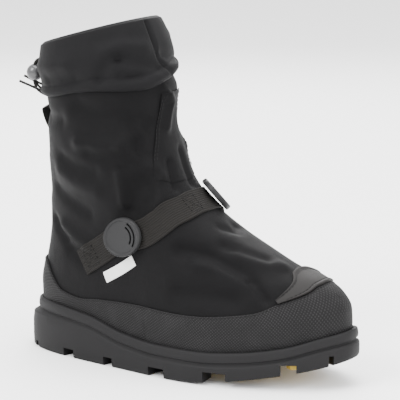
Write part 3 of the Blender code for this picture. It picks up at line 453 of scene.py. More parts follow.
def smooth(rows, key, column, at):
    places = np.array([getattr(row, key) for row in rows], float)
    values = np.array([getattr(row, column) for row in rows], float)
    at = np.clip(np.asarray(at, float), places[0], places[-1])
    slopes = np.diff(values) / np.diff(places)
    tangents = np.zeros(len(rows))
    tangents[0], tangents[-1] = slopes[0], slopes[-1]
    before, after = slopes[:-1], slopes[1:]
    same = before * after > 0
    total = np.where(same, before + after, 1.0)
    tangents[1:-1] = np.where(same, 2 * before * after / total, 0.0)
    first = np.clip(np.searchsorted(places, at, side="right") - 1, 0, len(rows) - 2)
    span = (places[1:] - places[:-1])[first]
    t = (at - places[first]) / span
    start = values[first] * (2 * t**3 - 3 * t**2 + 1) + tangents[first] * span * (t**3 - 2 * t**2 + t)
    end = values[first + 1] * (3 * t**2 - 2 * t**3) + tangents[first + 1] * span * (t**3 - t**2)
    return start + end


def signed_power(value, exponent):
    return np.sign(value) * np.abs(value) ** exponent


def mix(start, end, share):
    return start + (end - start) * share


def unit(vectors):
    return vectors / np.linalg.norm(vectors, axis=-1, keepdims=True)


# The sole's heights and outline


def along(x):
    return (x + HEEL_SETBACK) / SOLE_LENGTH


def ground_clearance(x):
    return smooth(SOLE, "along", "bottom", along(x)) * TOE_SPRING


def footbed(x):
    raised = smooth(SOLE, "along", "heel", along(x)) * HEEL_RAISE
    return ground_clearance(x) + LUG_DEPTH + SOLE_PLATE + raised


def rim(x):
    return smooth(SOLE, "along", "rim", along(x)) * RIM_HEIGHT


def half_width(share, sine):
    medial = smooth(SOLE, "along", "medial", share)
    lateral = smooth(SOLE, "along", "lateral", share)
    return np.where(sine >= 0, medial, lateral) * BALL_WIDTH


def sole_edge(angle, inset=0.0, ledge=0.0):
    cosine, sine = np.cos(angle), np.sin(angle)
    share = (1 - signed_power(cosine, 2 / SOLE_SQUARENESS)) / 2
    inset = inset + ledge * smooth(LEDGE, "along", "size", share)
    half = half_width(share, sine) - inset
    x = inset - HEEL_SETBACK + (SOLE_LENGTH - 2 * inset) * share
    return x, signed_power(sine, 2 / SOLE_SQUARENESS) * half


# The last


def last(angle, up):
    angle, up = np.broadcast_arrays(np.asarray(angle, float), np.asarray(up, float))
    ring = Ring(up, *[smooth(RINGS, "up", name, up) for name in Ring._fields[1:]])
    back_x, front_x = ring.back_x * SOLE_LENGTH, ring.front_x * SOLE_LENGTH
    back_bed, front_bed = footbed(back_x), footbed(front_x)
    back_lift = ring.back_up * (SHAFT_HEIGHT - back_bed)
    front_lift = ring.front_up * (SHAFT_HEIGHT + COLLAR_RISE - front_bed)
    cosine, sine = np.cos(angle), np.sin(angle)
    share = (1 - signed_power(cosine, 2 / ring.square)) / 2
    x = mix(back_x, front_x, share)
    bed = mix(mix(back_bed, front_bed, share), footbed(x), ring.foot)
    plain = BALL_WIDTH / 2
    side = np.where(sine >= 0, ring.medial, ring.lateral)
    half = mix(plain, half_width(share, sine), ring.foot) - (plain - side * BALL_WIDTH)
    y = signed_power(sine, 2 / ring.square) * half
    return np.stack([x, y, bed + mix(back_lift, front_lift, share) + FIT_GAP], axis=-1)


def directions(angle, up, small=0.02):
    onward = unit(last(angle + small, up) - last(angle - small, up))
    upward = unit(last(angle, np.minimum(up + small, COLLAR)) - last(angle, np.maximum(up - small, 0)))
    return onward, upward, unit(np.cross(upward, onward))


def near_line(points, line):
    """The distance from each point to a line of points."""
    best = np.full(points.shape[:-1], 9.0)
    for start, end in zip(line, line[1:]):
        run = end - start
        t = np.clip(((points - start) @ run) / (run @ run), 0, 1)
        best = np.minimum(best, np.linalg.norm(points - start - t[..., None] * run, axis=-1))
    return best


def crease_height(points, creases):
    height = np.zeros(points.shape[:-1])
    for crease in creases:
        spots = np.array(crease.spots, float)
        line = last(np.radians(spots[:, 0]), spots[:, 1])
        distance = near_line(points, line) / (crease.width * FOLD_WIDTH)
        height += crease.depth * FOLD_DEPTH * np.exp(-(distance**2))
    return height


def skin(angle, up, out=0.0, fold=1):
    """A place out from the folded outer face of the upper, or with fold 0 bridging its troughs."""
    angle = np.asarray(angle, float)
    up = np.asarray(up, float)
    base = last(angle, up)
    height = crease_height(base, FOLDS)
    if not fold:
        height = np.maximum(height, 0)
    return base + directions(angle, up)[2] * (out + height)[..., None]


def slide(angle, up, way, distance, steps=4):
    small = 0.01
    angle, up = np.array(angle, float), np.array(up, float)
    for _ in range(steps):
        here = last(angle, up)
        turned = (last(angle + small, up) - here) / small
        raised = (last(angle, up + small) - here) / small
        wanted = way * (np.asarray(distance) / steps)[..., None]
        a, b, c = (turned**2).sum(-1), (turned * raised).sum(-1), (raised**2).sum(-1)
        p, q = (turned * wanted).sum(-1), (raised * wanted).sum(-1)
        scale = a * c - b * b
        angle = angle + (c * p - b * q) / scale
        up = up + (a * q - b * p) / scale
    return angle, up


def even_angles(count):
    """Angles whose places on the foot lie evenly, the same on both sides."""
    fine = np.linspace(0, math.pi, 4000)
    run = np.concatenate([[0], np.cumsum(np.linalg.norm(np.diff(last(fine, 3.0), axis=0), axis=1))])
    half = np.interp(np.linspace(0, run[-1], count // 2 + 1), run, fine)
    return np.concatenate([half, 2 * math.pi - half[-2:0:-1]])


ANGLES = even_angles(FINE)


def level_at(up):
    return np.full(len(ANGLES), float(up))


def up_at_rim(out):
    low, high = np.zeros(len(ANGLES)), np.full(len(ANGLES), 4.0)
    for _ in range(24):
        middle = (low + high) / 2
        points = last(ANGLES, middle) + directions(ANGLES, middle)[2] * out
        under = points[:, 2] < rim(points[:, 0])
        low, high = np.where(under, middle, low), np.where(under, high, middle)
    return (low + high) / 2


# Making meshes


def linked(name, data):
    item = bpy.data.objects.new(name, data)
    bpy.context.scene.collection.objects.link(item)
    return item


def add(name, points, faces, made_of, uv=None, second=None, second_faces=None):
    """One closed mesh, turned so that it faces out."""
    mesh = bpy.data.meshes.new(name)
    mesh.from_pydata(np.asarray(points).reshape(-1, 3).tolist(), [], faces)
    body = bmesh.new()
    body.from_mesh(mesh)
    if body.calc_volume(signed=True) < 0:
        bmesh.ops.reverse_faces(body, faces=body.faces)
    body.to_mesh(mesh)
    body.free()
    mesh.materials.append(made_of)
    if uv is not None:
        layer = mesh.uv_layers.new(name="weave")
        corners = np.empty(len(mesh.loops), np.int32)
        mesh.loops.foreach_get("vertex_index", corners)
        layer.data.foreach_set("uv", np.asarray(uv).reshape(-1, 2)[corners].astype(np.float32).ravel())
    if second is not None:
        mesh.materials.append(second)
        marks = np.zeros(len(mesh.polygons), np.int32)
        marks[second_faces] = 1
        mesh.polygons.foreach_set("material_index", marks)
    mesh.shade_smooth()
    mesh.set_sharp_from_angle(angle=math.radians(42))
    return linked(name, mesh)


def grid_faces(rows, columns, wrap_rows, wrap_columns):
    faces = []
    for i in range(rows if wrap_rows else rows - 1):
        k = (i + 1) % rows
        for j in range(columns if wrap_columns else columns - 1):
            l = (j + 1) % columns
            faces.append((i * columns + j, i * columns + l, k * columns + l, k * columns + j))
    return faces


def lengths_uv(grid):
    """Weave coordinates of a grid of points, in metres along its columns and its rows."""
    across = np.linalg.norm(np.diff(grid, axis=1), axis=2).mean(axis=0)
    down = np.linalg.norm(np.diff(grid, axis=0), axis=2).mean(axis=1)
    u = np.concatenate([[0], np.cumsum(across)])
    v = np.concatenate([[0], np.cumsum(down)])
    return np.stack(np.meshgrid(u, v), axis=-1)


def sleeve(name, rows, made_of, second=None, second_from=None):
    """A closed body of rings, the last joined to the first."""
    grid = np.array(rows)
    count, columns = grid.shape[:2]
    faces = grid_faces(count, columns, True, True)
    marked = None
    if second is not None:
        marked = list(range(second_from * columns, len(faces)))
    return add(name, grid, faces, made_of, lengths_uv(grid), second, marked)


def sheet(name, outer, inner, made_of):
    """A strip or panel with thickness, closed at its edges."""
    outer, inner = np.array(outer), np.array(inner)
    grid = np.concatenate([outer, inner[:, ::-1]], axis=1)
    rows, columns = grid.shape[:2]
    faces = grid_faces(rows, columns, False, True)
    half = columns // 2
    for row in (0, rows - 1):
        base = row * columns
        for j in range(half - 1):
            quad = (base + j, base + j + 1, base + columns - 2 - j, base + columns - 1 - j)
            faces.append(quad if row else quad[::-1])
    return add(name, grid, faces, made_of, lengths_uv(grid))


def stack(name, rings, made_of):
    """A body of rings, closed across at both ends."""
    grid = np.array(rings)
    rows, columns = grid.shape[:2]
    faces = grid_faces(rows, columns, False, True)
    half = columns // 2
    for row in (0, rows - 1):
        base = row * columns
        strips = [(base, base + 1, base + columns - 1)]
        for i in range(1, half - 1):
            strips.append((base + i, base + i + 1, base + columns - i - 1, base + columns - i))
        strips.append((base + half - 1, base + half, base + half + 1))
        faces += [tuple(face) if row else tuple(face[::-1]) for face in strips]
    return add(name, grid, faces, made_of, lengths_uv(grid))


def rounded(rows, times=2):
    """The same run of rings with its corners cut off."""
    rows = np.array(rows)
    for _ in range(times):
        near = rows[:-1] * 0.75 + rows[1:] * 0.25
        far = rows[:-1] * 0.25 + rows[1:] * 0.75
        between = np.stack([near, far], axis=1).reshape(-1, *rows.shape[1:])
        rows = np.concatenate([rows[:1], between, rows[-1:]])
    return rows


def catmull(points, per_span):
    points = np.array(points, float)
    ends = np.concatenate([[2 * points[0] - points[1]], points, [2 * points[-1] - points[-2]]])
    made = []
    for i in range(1, len(ends) - 2):
        a, b, c, d = ends[i - 1 : i + 3]
        for t in np.arange(per_span) / per_span:
            square, cube = 2 * a - 5 * b + 4 * c - d, 3 * b - a - 3 * c + d
            made.append(0.5 * (2 * b + (c - a) * t + square * t**2 + cube * t**3))
    made.append(points[-1])
    return np.array(made)


# Materials


def link(material, start, end):
    material.node_tree.links.new(start, end)


def node(material, kind, **settings):
    made = material.node_tree.nodes.new("ShaderNode" + kind)
    for name, value in settings.items():
        setattr(made, name, value)
    return made


def put(shader_node, **values):
    """Sets a node's inputs, with _ in their names for a space."""
    for name, value in values.items():
        shader_node.inputs[name.replace("_", " ")].default_value = value


def noise(material, scale, detail=4.0):
    where = node(material, "TexCoord")
    made = node(material, "TexNoise")
    put(made, Scale=scale, Detail=detail)
    link(material, where.outputs["Object"], made.inputs["Vector"])
    return made.outputs["Fac"]


def surface(
    name, dark, light, rough, blotch=90, grain=1500, grain_size=0.00008, sheen=0.0, weave=None,
    folds=None, shine=0.1,
):
    """A material of two close tones and a grain.

    Cloth also has a weave, as its period in metres and its angle, and soft folds, as the scale
    and the height in metres of their noise.
    """
    made = bpy.data.materials.new(name)
    made.use_nodes = True
    shader = made.node_tree.nodes["Principled BSDF"]
    put(shader, Sheen_Weight=sheen, Sheen_Roughness=0.5, Specular_IOR_Level=shine)
    tone = noise(made, blotch)
    fine = noise(made, grain, 2.0)
    height = fine
    if weave:
        period, turn = weave
        uv = node(made, "UVMap", uv_map="weave")
        turned = node(made, "Mapping")
        put(turned, Rotation=(0, 0, math.radians(turn)))
        link(made, uv.outputs["UV"], turned.inputs["Vector"])
        threads = []
        for direction in ("X", "Y"):
            wave = node(made, "TexWave", wave_type="BANDS", bands_direction=direction)
            put(wave, Scale=2 * math.pi / (20 * period), Distortion=0.6, Detail=1.0)
            link(made, turned.outputs["Vector"], wave.inputs["Vector"])
            threads.append(wave.outputs["Fac"])
        woven = node(made, "Math", operation="MULTIPLY")
        link(made, threads[0], woven.inputs[0])
        link(made, threads[1], woven.inputs[1])
        height = woven.outputs[0]
        grain_size = period * 0.22
    share = node(made, "Mix", data_type="FLOAT")
    put(share, Factor=0.55)
    link(made, tone, share.inputs["A"])
    link(made, height, share.inputs["B"])
    spread = node(made, "MapRange")
    put(spread, From_Min=0.25, From_Max=0.75)
    link(made, share.outputs["Result"], spread.inputs["Value"])
    colour = node(made, "Mix", data_type="RGBA")
    put(colour, A=(*dark, 1), B=(*light, 1))
    link(made, spread.outputs["Result"], colour.inputs["Factor"])
    link(made, colour.outputs["Result"], shader.inputs["Base Color"])
    gloss = node(made, "MapRange")
    put(gloss, To_Min=rough - 0.08, To_Max=rough + 0.08)
    link(made, tone, gloss.inputs["Value"])
    link(made, gloss.outputs["Result"], shader.inputs["Roughness"])
    bump = node(made, "Bump")
    put(bump, Strength=0.7, Distance=grain_size)
    link(made, height, bump.inputs["Height"])
    if folds:
        scale, size = folds
        soft = node(made, "Bump")
        put(soft, Strength=0.8, Distance=size)
        link(made, noise(made, scale, 3.0), soft.inputs["Height"])
        link(made, bump.outputs["Normal"], soft.inputs["Normal"])
        bump = soft
    link(made, bump.outputs["Normal"], shader.inputs["Normal"])
    return made


nylon = surface(
    "upper_nylon", NYLON, NYLON_LIGHT, 0.58, 40, sheen=0.01, weave=(0.0007, 0), folds=(55, 0.0012),
    shine=0.05,
)
lining = surface("lining_felt", FELT_DARK, FELT_LIGHT, 0.9, 120, 900, 0.0003, sheen=0.02)
cuff_cloth = surface(
    "cuff_nylon", CUFF_DARK, CUFF_LIGHT, 0.6, 40, sheen=0.01, weave=(0.0007, 0), folds=(60, 0.0010),
    shine=0.05,
)
woven = surface("rand_cloth", WOVEN_DARK, WOVEN_LIGHT, 0.7, 60, weave=(0.0021, 38))
patch = surface("toe_cap_rubber", PATCH_DARK, PATCH_LIGHT, 0.6, 120, 2200, 0.0002)
rubber = surface("outsole_rubber", RUBBER_DARK, RUBBER_LIGHT, 0.62, 60, 1800, 0.00015)
tread = surface("tread_rubber", TREAD_DARK, TREAD_LIGHT, 0.6, 80, 1600, 0.00015)
felt = surface("insole_felt", FELT_DARK, FELT_LIGHT, 0.92, 150, 1200, 0.0004, sheen=0.02)
webbing = surface("strap_webbing", WEBBING_DARK, WEBBING_LIGHT, 0.75, 80, sheen=0.01, weave=(0.0011, 45))
olive = surface("loop_webbing", LOOP_DARK, LOOP_LIGHT, 0.75, 80, sheen=0.01, weave=(0.0011, 45))
plastic = surface("buckle_plastic", BUCKLE_DARK, BUCKLE_LIGHT, 0.42, 50, 2500, 0.00006)
label = surface("label_cloth", LABEL_DARK, LABEL_LIGHT, 0.6, 60, weave=(0.0006, 0))
gloss = surface("lock_plastic", LOCK_DARK, LOCK_LIGHT, 0.24, 60, 900, 0.00002, shine=0.5)
black = surface("lock_button", BUTTON_DARK, BUTTON_LIGHT, 0.45, 60)
braid = surface("drawcord_cloth", CORD_DARK, CORD_LIGHT, 0.8, 500, 2600, 0.00018)
thread = surface("thread", THREAD_DARK, THREAD_LIGHT, 0.6, 400)


def place(piece, slot, *nodes):
    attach(piece, "root")
    if nodes:
        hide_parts(*nodes)
    return piece


# Camera and cords


def make_camera():
    back = Vector((
        math.sin(VIEW_AZIMUTH) * math.cos(VIEW_ELEVATION),
        -math.cos(VIEW_AZIMUTH) * math.cos(VIEW_ELEVATION),
        math.sin(VIEW_ELEVATION),
    ))
    right = Vector((math.cos(VIEW_AZIMUTH), math.sin(VIEW_AZIMUTH), 0))
    upright = back.cross(right)
    data = bpy.data.cameras.new("camera")
    data.lens = VIEW_LENS
    data.sensor_width = VIEW_SENSOR
    item = linked("camera", data)
    turned = Matrix((right, upright, back)).transposed().to_4x4()
    item.matrix_world = Matrix.Translation(VIEW_TARGET + back * VIEW_DISTANCE) @ turned
    bpy.context.scene.camera = item


make_camera()


def make_cord(name, route, offset):
    shift = np.array((0, LOCK_CENTRE[1] + offset, 0))
    path = catmull(np.array(route) + shift, 8)
    curve = bpy.data.curves.new(name, "CURVE")
    curve.dimensions = "3D"
    curve.bevel_depth = CORD_DIAMETER / 2
    curve.bevel_resolution = 5
    curve.use_fill_caps = True
    spline = curve.splines.new("POLY")
    spline.points.add(len(path) - 1)
    for point, spot in zip(spline.points, path):
        point.co = (*spot, 1)
    curve.materials.append(braid)
    length = float(np.linalg.norm(np.diff(path, axis=0), axis=1).sum())
    return linked(name, curve), tuple(path[0]), length


def make_lock():
    body = bmesh.new()
    bmesh.ops.create_uvsphere(
        body, u_segments=48, v_segments=32, radius=LOCK_RADIUS, matrix=Matrix.Translation(LOCK_CENTRE)
    )
    size = Matrix.Diagonal((LOCK_HOLE, LOCK_HOLE + CORD_SPACING, LOCK_RADIUS * 3, 1))
    hole = bmesh.new()
    bmesh.ops.create_cube(hole, size=1, matrix=Matrix.Translation(LOCK_CENTRE) @ size)
    sideways = Matrix.Rotation(math.radians(90), 4, "Y")
    middle = Vector(LOCK_CENTRE) + Vector((LOCK_RADIUS * 0.55 + BUTTON_LENGTH / 2, 0, 0))
    bmesh.ops.create_cone(
        hole, cap_ends=True, segments=32, radius1=BUTTON_RADIUS + FIT_GAP, radius2=BUTTON_RADIUS + FIT_GAP,
        depth=BUTTON_LENGTH + 2 * FIT_GAP, matrix=Matrix.Translation(middle) @ sideways,
    )
    ball = cut("cord_lock_ball", body, hole, gloss)
    button = bmesh.new()
    bmesh.ops.create_cone(
        button, cap_ends=True, segments=32, radius1=BUTTON_RADIUS, radius2=BUTTON_RADIUS,
        depth=BUTTON_LENGTH, matrix=Matrix.Translation(middle) @ sideways,
    )
    rims = [edge for edge in button.edges if len(edge.link_faces) == 2 and edge.calc_face_angle(0) > 1]
    bmesh.ops.bevel(button, geom=rims, offset=0.0006, segments=2, affect="EDGES")
    return ball, from_bmesh("cord_lock_plunger", button, black)


def from_bmesh(name, body, made_of):
    bmesh.ops.recalc_face_normals(body, faces=body.faces)
    mesh = bpy.data.meshes.new(name)
    body.to_mesh(mesh)
    body.free()
    mesh.materials.append(made_of)
    mesh.shade_smooth()
    mesh.set_sharp_from_angle(angle=math.radians(35))
    return linked(name, mesh)


def carve(item, *others):
    """Cuts other objects out of one and applies it."""
    for other in others:
        modifier = item.modifiers.new("cut", "BOOLEAN")
        modifier.operation = "DIFFERENCE"
        modifier.object = other
        modifier.solver = "EXACT"
    bpy.context.view_layer.update()
    graph = bpy.context.evaluated_depsgraph_get()
    mesh = bpy.data.meshes.new_from_object(item.evaluated_get(graph))
    item.modifiers.clear()
    item.data = mesh
    mesh.shade_smooth()
    mesh.set_sharp_from_angle(angle=math.radians(35))
    for other in others:
        bpy.data.objects.remove(other, do_unlink=True)
    return item


def cut(name, body, hole, made_of):
    return carve(from_bmesh(name, body, made_of), from_bmesh("cutter", hole, made_of))


ball, plunger = make_lock()
place(ball, "lock_plastic", "cord_lock")
place(plunger, "lock_button", "cord_lock_button")
for cord_name, route, offset in (
    ("drawcord_a", CORD_A, CORD_SPACING / 2),
    ("drawcord_b", CORD_B, -CORD_SPACING / 2),
):
    strand, start, length = make_cord(cord_name + "_braid", route, offset)
    place(strand, "drawcord_cloth", cord_name)


# The sole


def make_outsole():
    cup_out = LAY_GAP + RAND_THICKNESS + FIT_GAP
    rings = []
    for step in SIDE_STEPS:
        x, y = sole_edge(ANGLES, step.inset * GROOVE_DEPTH, step.ledge * HEEL_LEDGE)
        if step.from_ground:
            z = ground_clearance(x) + step.level * LUG_DEPTH
        else:
            z = rim(x) - step.level * RIM_BAND
        rings.append(np.stack([x, y, z], axis=-1))
    tops = up_at_rim(cup_out)
    for share in CUP_ROWS:
        rings.append(last(ANGLES, tops * share) + directions(ANGLES, tops * share)[2] * cup_out)
    low = last(ANGLES, 0.0) + directions(ANGLES, np.zeros(len(ANGLES)))[2] * cup_out
    low[:, 2] = footbed(low[:, 0])
    rings.append(low)
    outsole = stack("outsole_rubber", rounded(rings, 1), rubber)
    slots = bmesh.new()
    for slot in SLOTS:
        for side in (1, -1):
            cosine = float(signed_power(1 - 2 * slot.along, SOLE_SQUARENESS / 2))
            angle = math.acos(cosine) * side
            x, y = (float(value) for value in sole_edge(angle))
            ahead, behind = sole_edge(angle + 0.02), sole_edge(angle - 0.02)
            heading = math.atan2(ahead[1] - behind[1], ahead[0] - behind[0])
            top = slot.height * LUG_DEPTH
            inward = Vector((math.sin(heading), -math.cos(heading), 0))
            centre = Vector((x, y, float(ground_clearance(x)) + (top - LUG_DEPTH) / 2))
            centre += inward * LUG_REACH * 0.5
            size = Matrix.Diagonal((slot.width * SLOT_WIDTH, LUG_REACH * 1.5, top + LUG_DEPTH, 1))
            turned = Matrix.Translation(centre) @ Matrix.Rotation(heading, 4, "Z")
            bmesh.ops.create_cube(slots, size=1, matrix=turned @ size)
    pocket = []
    for height in (-LUG_DEPTH, LUG_DEPTH + INSERT_PLATE):
        x, y = sole_edge(ANGLES, LUG_REACH)
        pocket.append(np.stack([x, y, ground_clearance(x) + height], axis=-1))
    return carve(outsole, from_bmesh("slots", slots, rubber), stack("pocket", pocket, rubber))


place(make_outsole(), "outsole_rubber", "outsole")
for material_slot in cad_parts["tread_insert"].material_slots:
    material_slot.material = tread


def make_insole():
    out = -UPPER_WALL - 2 * LAY_GAP
    zero = np.zeros(len(ANGLES))
    edge = last(ANGLES, zero) + directions(ANGLES, zero)[2] * out
    middle = np.array([edge[:, 0].mean(), 0, 0])
    rings = []
    for row in INSOLE_ROWS:
        ring = edge + (middle - edge) * np.array([1, 1, 0]) * row.shrink
        ring[:, 2] = footbed(ring[:, 0]) + FIT_GAP + row.height * INSOLE_THICKNESS
        rings.append(ring)
    return stack("insole_felt", rings, felt)


place(make_insole(), "insole_felt", "insole")


# The upper and its overlays


def make_upper():
    ups = np.linspace(0, COLLAR, UPPER_FINE)
    outside = [skin(ANGLES, level_at(up)) for up in ups]
    inside = []
    for up in np.linspace(COLLAR, 0, INNER_FINE):
        level = level_at(up)
        base = last(ANGLES, level)
        height = np.minimum(crease_height(base, FOLDS), 0) * TROUGH_INSIDE
        inside.append(base + directions(ANGLES, level)[2] * (height - UPPER_WALL)[:, None])
    return sleeve("upper_nylon", outside + inside, nylon, lining, len(outside))


place(make_upper(), "upper_nylon", "upper")


def turn_from_back(angles):
    degrees = np.degrees(angles) % 360
    return np.minimum(degrees, 360 - degrees)


def rand_top(angles):
    return smooth(RAND_TOP, "turn", "up", turn_from_back(angles))


def seam_groove(points, spots, width, depth):
    spots = np.array(spots, float)
    line = last(np.radians(spots[:, 0]), spots[:, 1])
    return -depth * np.exp(-((near_line(points, line) / width) ** 2))


def make_rand():
    top = rand_top(ANGLES)
    outside, inside = [], []
    for row in RAND_ROWS:
        up = mix(RAND_START, top, row.place)
        base = last(ANGLES, up)
        groove = sum(seam_groove(base, spots, RAND_SEAM_WIDTH, RAND_SEAM_DEPTH) for spots in RAND_SEAMS)
        outside.append(skin(ANGLES, up, LAY_GAP + RAND_THICKNESS * row.thick + groove))
        inside.append(skin(ANGLES, up, LAY_GAP))
    return sleeve("rand_cloth", outside + inside[::-1], woven)


place(make_rand(), "rand_cloth", "rand")


def make_toe_cap():
    turns = np.radians(np.linspace(TOE_CAP_TURN, 360 - TOE_CAP_TURN, 121))
    front = rand_top(turns) + TOE_CAP_SEAM
    back = smooth(TOE_CAP, "turn", "back", turn_from_back(turns))
    outer, inner = [], []
    for share in np.linspace(0, 1, 49):
        up = mix(front, back, share)
        raised = smooth(BEAD, "place", "out", share) * TOE_CAP_BEAD * 1.3
        edge = TOE_CAP_THICKNESS * (0.55 if share in (0, 1) else 1.0)
        outer.append(skin(turns, up, LAY_GAP + edge + raised))
        inner.append(skin(turns, up, LAY_GAP))
    return sheet("toe_cap_rubber", outer, inner, patch)


place(make_toe_cap(), "toe_cap_rubber", "toe_cap")


def cuff_skin(angle, up, out):
    base = last(angle, up)
    height = crease_height(base, CUFF_FOLDS)
    return base + directions(angle, up)[2] * (out + height)[:, None]


def make_cuff():
    turns = np.degrees(ANGLES)
    edge = smooth(CUFF_EDGE, "turn", "up", turns)
    lip = smooth(CUFF_EDGE, "turn", "lip", turns) * CUFF_LIP
    steps = np.linspace(0, len(CUFF_OUTSIDE) - 1, 57)
    Section = namedtuple("Section", "step place rise out puff lip")
    section = [Section(i, *row) for i, row in enumerate(CUFF_OUTSIDE)]
    rows = []
    for step in steps:
        row = Fold(*[float(smooth(section, "step", name, step)) for name in Fold._fields])
        up = mix(edge, COLLAR, row.place)
        roll = sum(
            item.height * math.exp(-(((row.place - item.place) / item.width) ** 2)) for item in CUFF_ROLLS
        )
        seam = seam_groove(last(ANGLES, up), CUFF_SEAM, CUFF_SEAM_WIDTH, CUFF_SEAM_DEPTH)
        lifted = directions(ANGLES, up)[1] * row.rise * CUFF_THICKNESS
        out = row.out * CUFF_THICKNESS + row.puff * CUFF_PUFF + row.lip * lip + roll + seam
        rows.append(cuff_skin(ANGLES, up, out) + lifted)
    inner_face = -UPPER_WALL - 2 * FIT_GAP
    turned_in = CUFF_INSIDE / (SHAFT_HEIGHT * (RINGS[-1].back_up - RINGS[-2].back_up))
    low = COLLAR - turned_in
    level = level_at(COLLAR)

    def ring(up, out, rise):
        ways = directions(ANGLES, up)
        return last(ANGLES, up) + ways[2] * out + ways[1] * rise

    for turn in CUFF_TURNS:
        rows.append(ring(level, inner_face - CUFF_THICKNESS * turn.inward, CUFF_THICKNESS * turn.rise))
    for share in (0.33, 0.66, 1.0):
        rows.append(ring(mix(level, low, share), inner_face - CUFF_THICKNESS * mix(0.8, 0.6, share), 0))
    rows.append(ring(level_at(low), inner_face, 0))
    rows.append(ring(level, inner_face, FIT_GAP))
    rows.append(ring(level, LAY_GAP, FIT_GAP))
    for share in (0.25, 0.5, 0.75, 1.0):
        up = mix(level, edge, share)
        rows.append(skin(ANGLES, up, LAY_GAP))
    return sleeve("cuff_nylon", rows, cuff_cloth)


place(make_cuff(), "cuff_nylon", "cuff")


def make_flap():
    outer, inner = [], []
    for up in np.linspace(FLAP[0].up, FLAP_TOP, 60):
        lateral, medial = float(smooth(FLAP, "up", "lateral", up)), float(smooth(FLAP, "up", "medial", up))
        turns = np.radians(np.linspace(medial, lateral, 61))
        level = np.full(61, up)
        low = min(1.0, 0.1 + 0.9 * (up - FLAP[0].up) / 0.6)
        edge = np.minimum(1.0, 0.4 + np.minimum(np.arange(61), 60 - np.arange(61)) * 0.3) * low
        outer.append(skin(turns, level, LAY_GAP + FLAP_THICKNESS * edge))
        inner.append(skin(turns, level, LAY_GAP))
    return sheet("closure_flap_nylon", outer, inner, nylon)


place(make_flap(), "upper_nylon", "closure_flap")


# Strap, buckles and trim


def route_spots(route, per_span):
    flat = catmull([(math.radians(spot.turn), spot.up) for spot in route], per_span)
    points = last(flat[:, 0], flat[:, 1])
    ahead = np.concatenate([points[1:], points[-1:]])
    behind = np.concatenate([points[:1], points[:-1]])
    onward = unit(ahead - behind)
    out = directions(flat[:, 0], flat[:, 1])[2]
    return flat[:, 0], flat[:, 1], unit(np.cross(out, onward))


def band(name, route, width, thickness, made_of, per_span=14, across=72, ribs=RIB_COUNT):
    angle, up, sideways = route_spots(route, per_span)
    outer, inner = [], []
    for share in np.linspace(0, 1, across + 1):
        where = slide(angle, up, sideways, np.full(len(angle), width * (share - 0.5)))
        edge = 0.6 if share in (0, 1) else 1.0
        rib = RIB_DEPTH * (0.5 - 0.5 * math.cos(2 * math.pi * ribs * share)) if ribs else 0.0
        outer.append(skin(*where, LAY_GAP + thickness * edge - RIB_DEPTH * 0.5 * (ribs > 0) + rib, fold=0))
        inner.append(skin(*where, LAY_GAP * 0.6, fold=0))
    return sheet(name, outer, inner, made_of)


for name, route, node_name in (
    ("strap_ribbed", STRAP_ROUTE, "strap_webbing"),
    ("anchor_lateral_webbing", LATERAL_ANCHOR_ROUTE, "strap_anchor_lateral"),
    ("anchor_medial_webbing", MEDIAL_ANCHOR_ROUTE, "strap_anchor_medial"),
):
    place(band(name, route, STRAP_WIDTH, WEBBING_THICKNESS, webbing), "strap_webbing", node_name)
place(
    band("side_label_cloth", LABEL_ROUTE, LABEL_WIDTH, LABEL_THICKNESS, label, 14, 12, 0),
    "label_cloth", "side_label",
)


def point_of(angle, up, out=0.0):
    angle, up = np.array([angle], float), np.array([up], float)
    return Vector((last(angle, up) + directions(angle, up)[2] * out)[0])


def out_of(angle, up):
    return Vector(directions(np.array([angle], float), np.array([up], float))[2][0])


def buckle_place(spot, route):
    angle, up = math.radians(spot.turn), spot.up
    lift = LAY_GAP + WEBBING_THICKNESS + LAY_GAP
    centre = point_of(angle, up, lift)
    first, second = (point_of(math.radians(item.turn), item.up) for item in route)
    forward = (second - first).normalized()
    sideways = out_of(angle, up).cross(forward).normalized()
    out = Vector()
    under = []
    for ahead in (-0.5, -0.25, 0.0, 0.25, 0.5):
        spine = slide(angle, up, np.array(forward), BUCKLE_LENGTH * ahead)
        for across in (-0.4, 0.0, 0.4):
            where = slide(*spine, np.array(sideways), BUCKLE_WIDTH * across)
            out += out_of(float(where[0]), float(where[1]))
            under.append(point_of(float(where[0]), float(where[1]), lift))
    out.normalize()
    forward = (forward - out * forward.dot(out)).normalized()
    centre += out * max((point - centre).dot(out) for point in under)
    turned = Matrix((forward, out.cross(forward), out)).transposed().to_4x4()
    return Matrix.Translation(centre) @ turned


# The buckle's section from its underside to the middle of its face. size: share of its outline,
# height: share of BUCKLE_THICKNESS
Rim = namedtuple("Rim", "size height")
BUCKLE_RIMS = [
    Rim(0.93, 0.00), Rim(0.98, 0.10), Rim(1.00, 0.30), Rim(1.00, 0.66), Rim(0.985, 0.86),
    Rim(0.955, 0.98), Rim(0.915, 1.00), Rim(0.875, 0.97), Rim(0.845, 0.86), Rim(0.825, 0.78),
    Rim(0.78, 0.76),
]


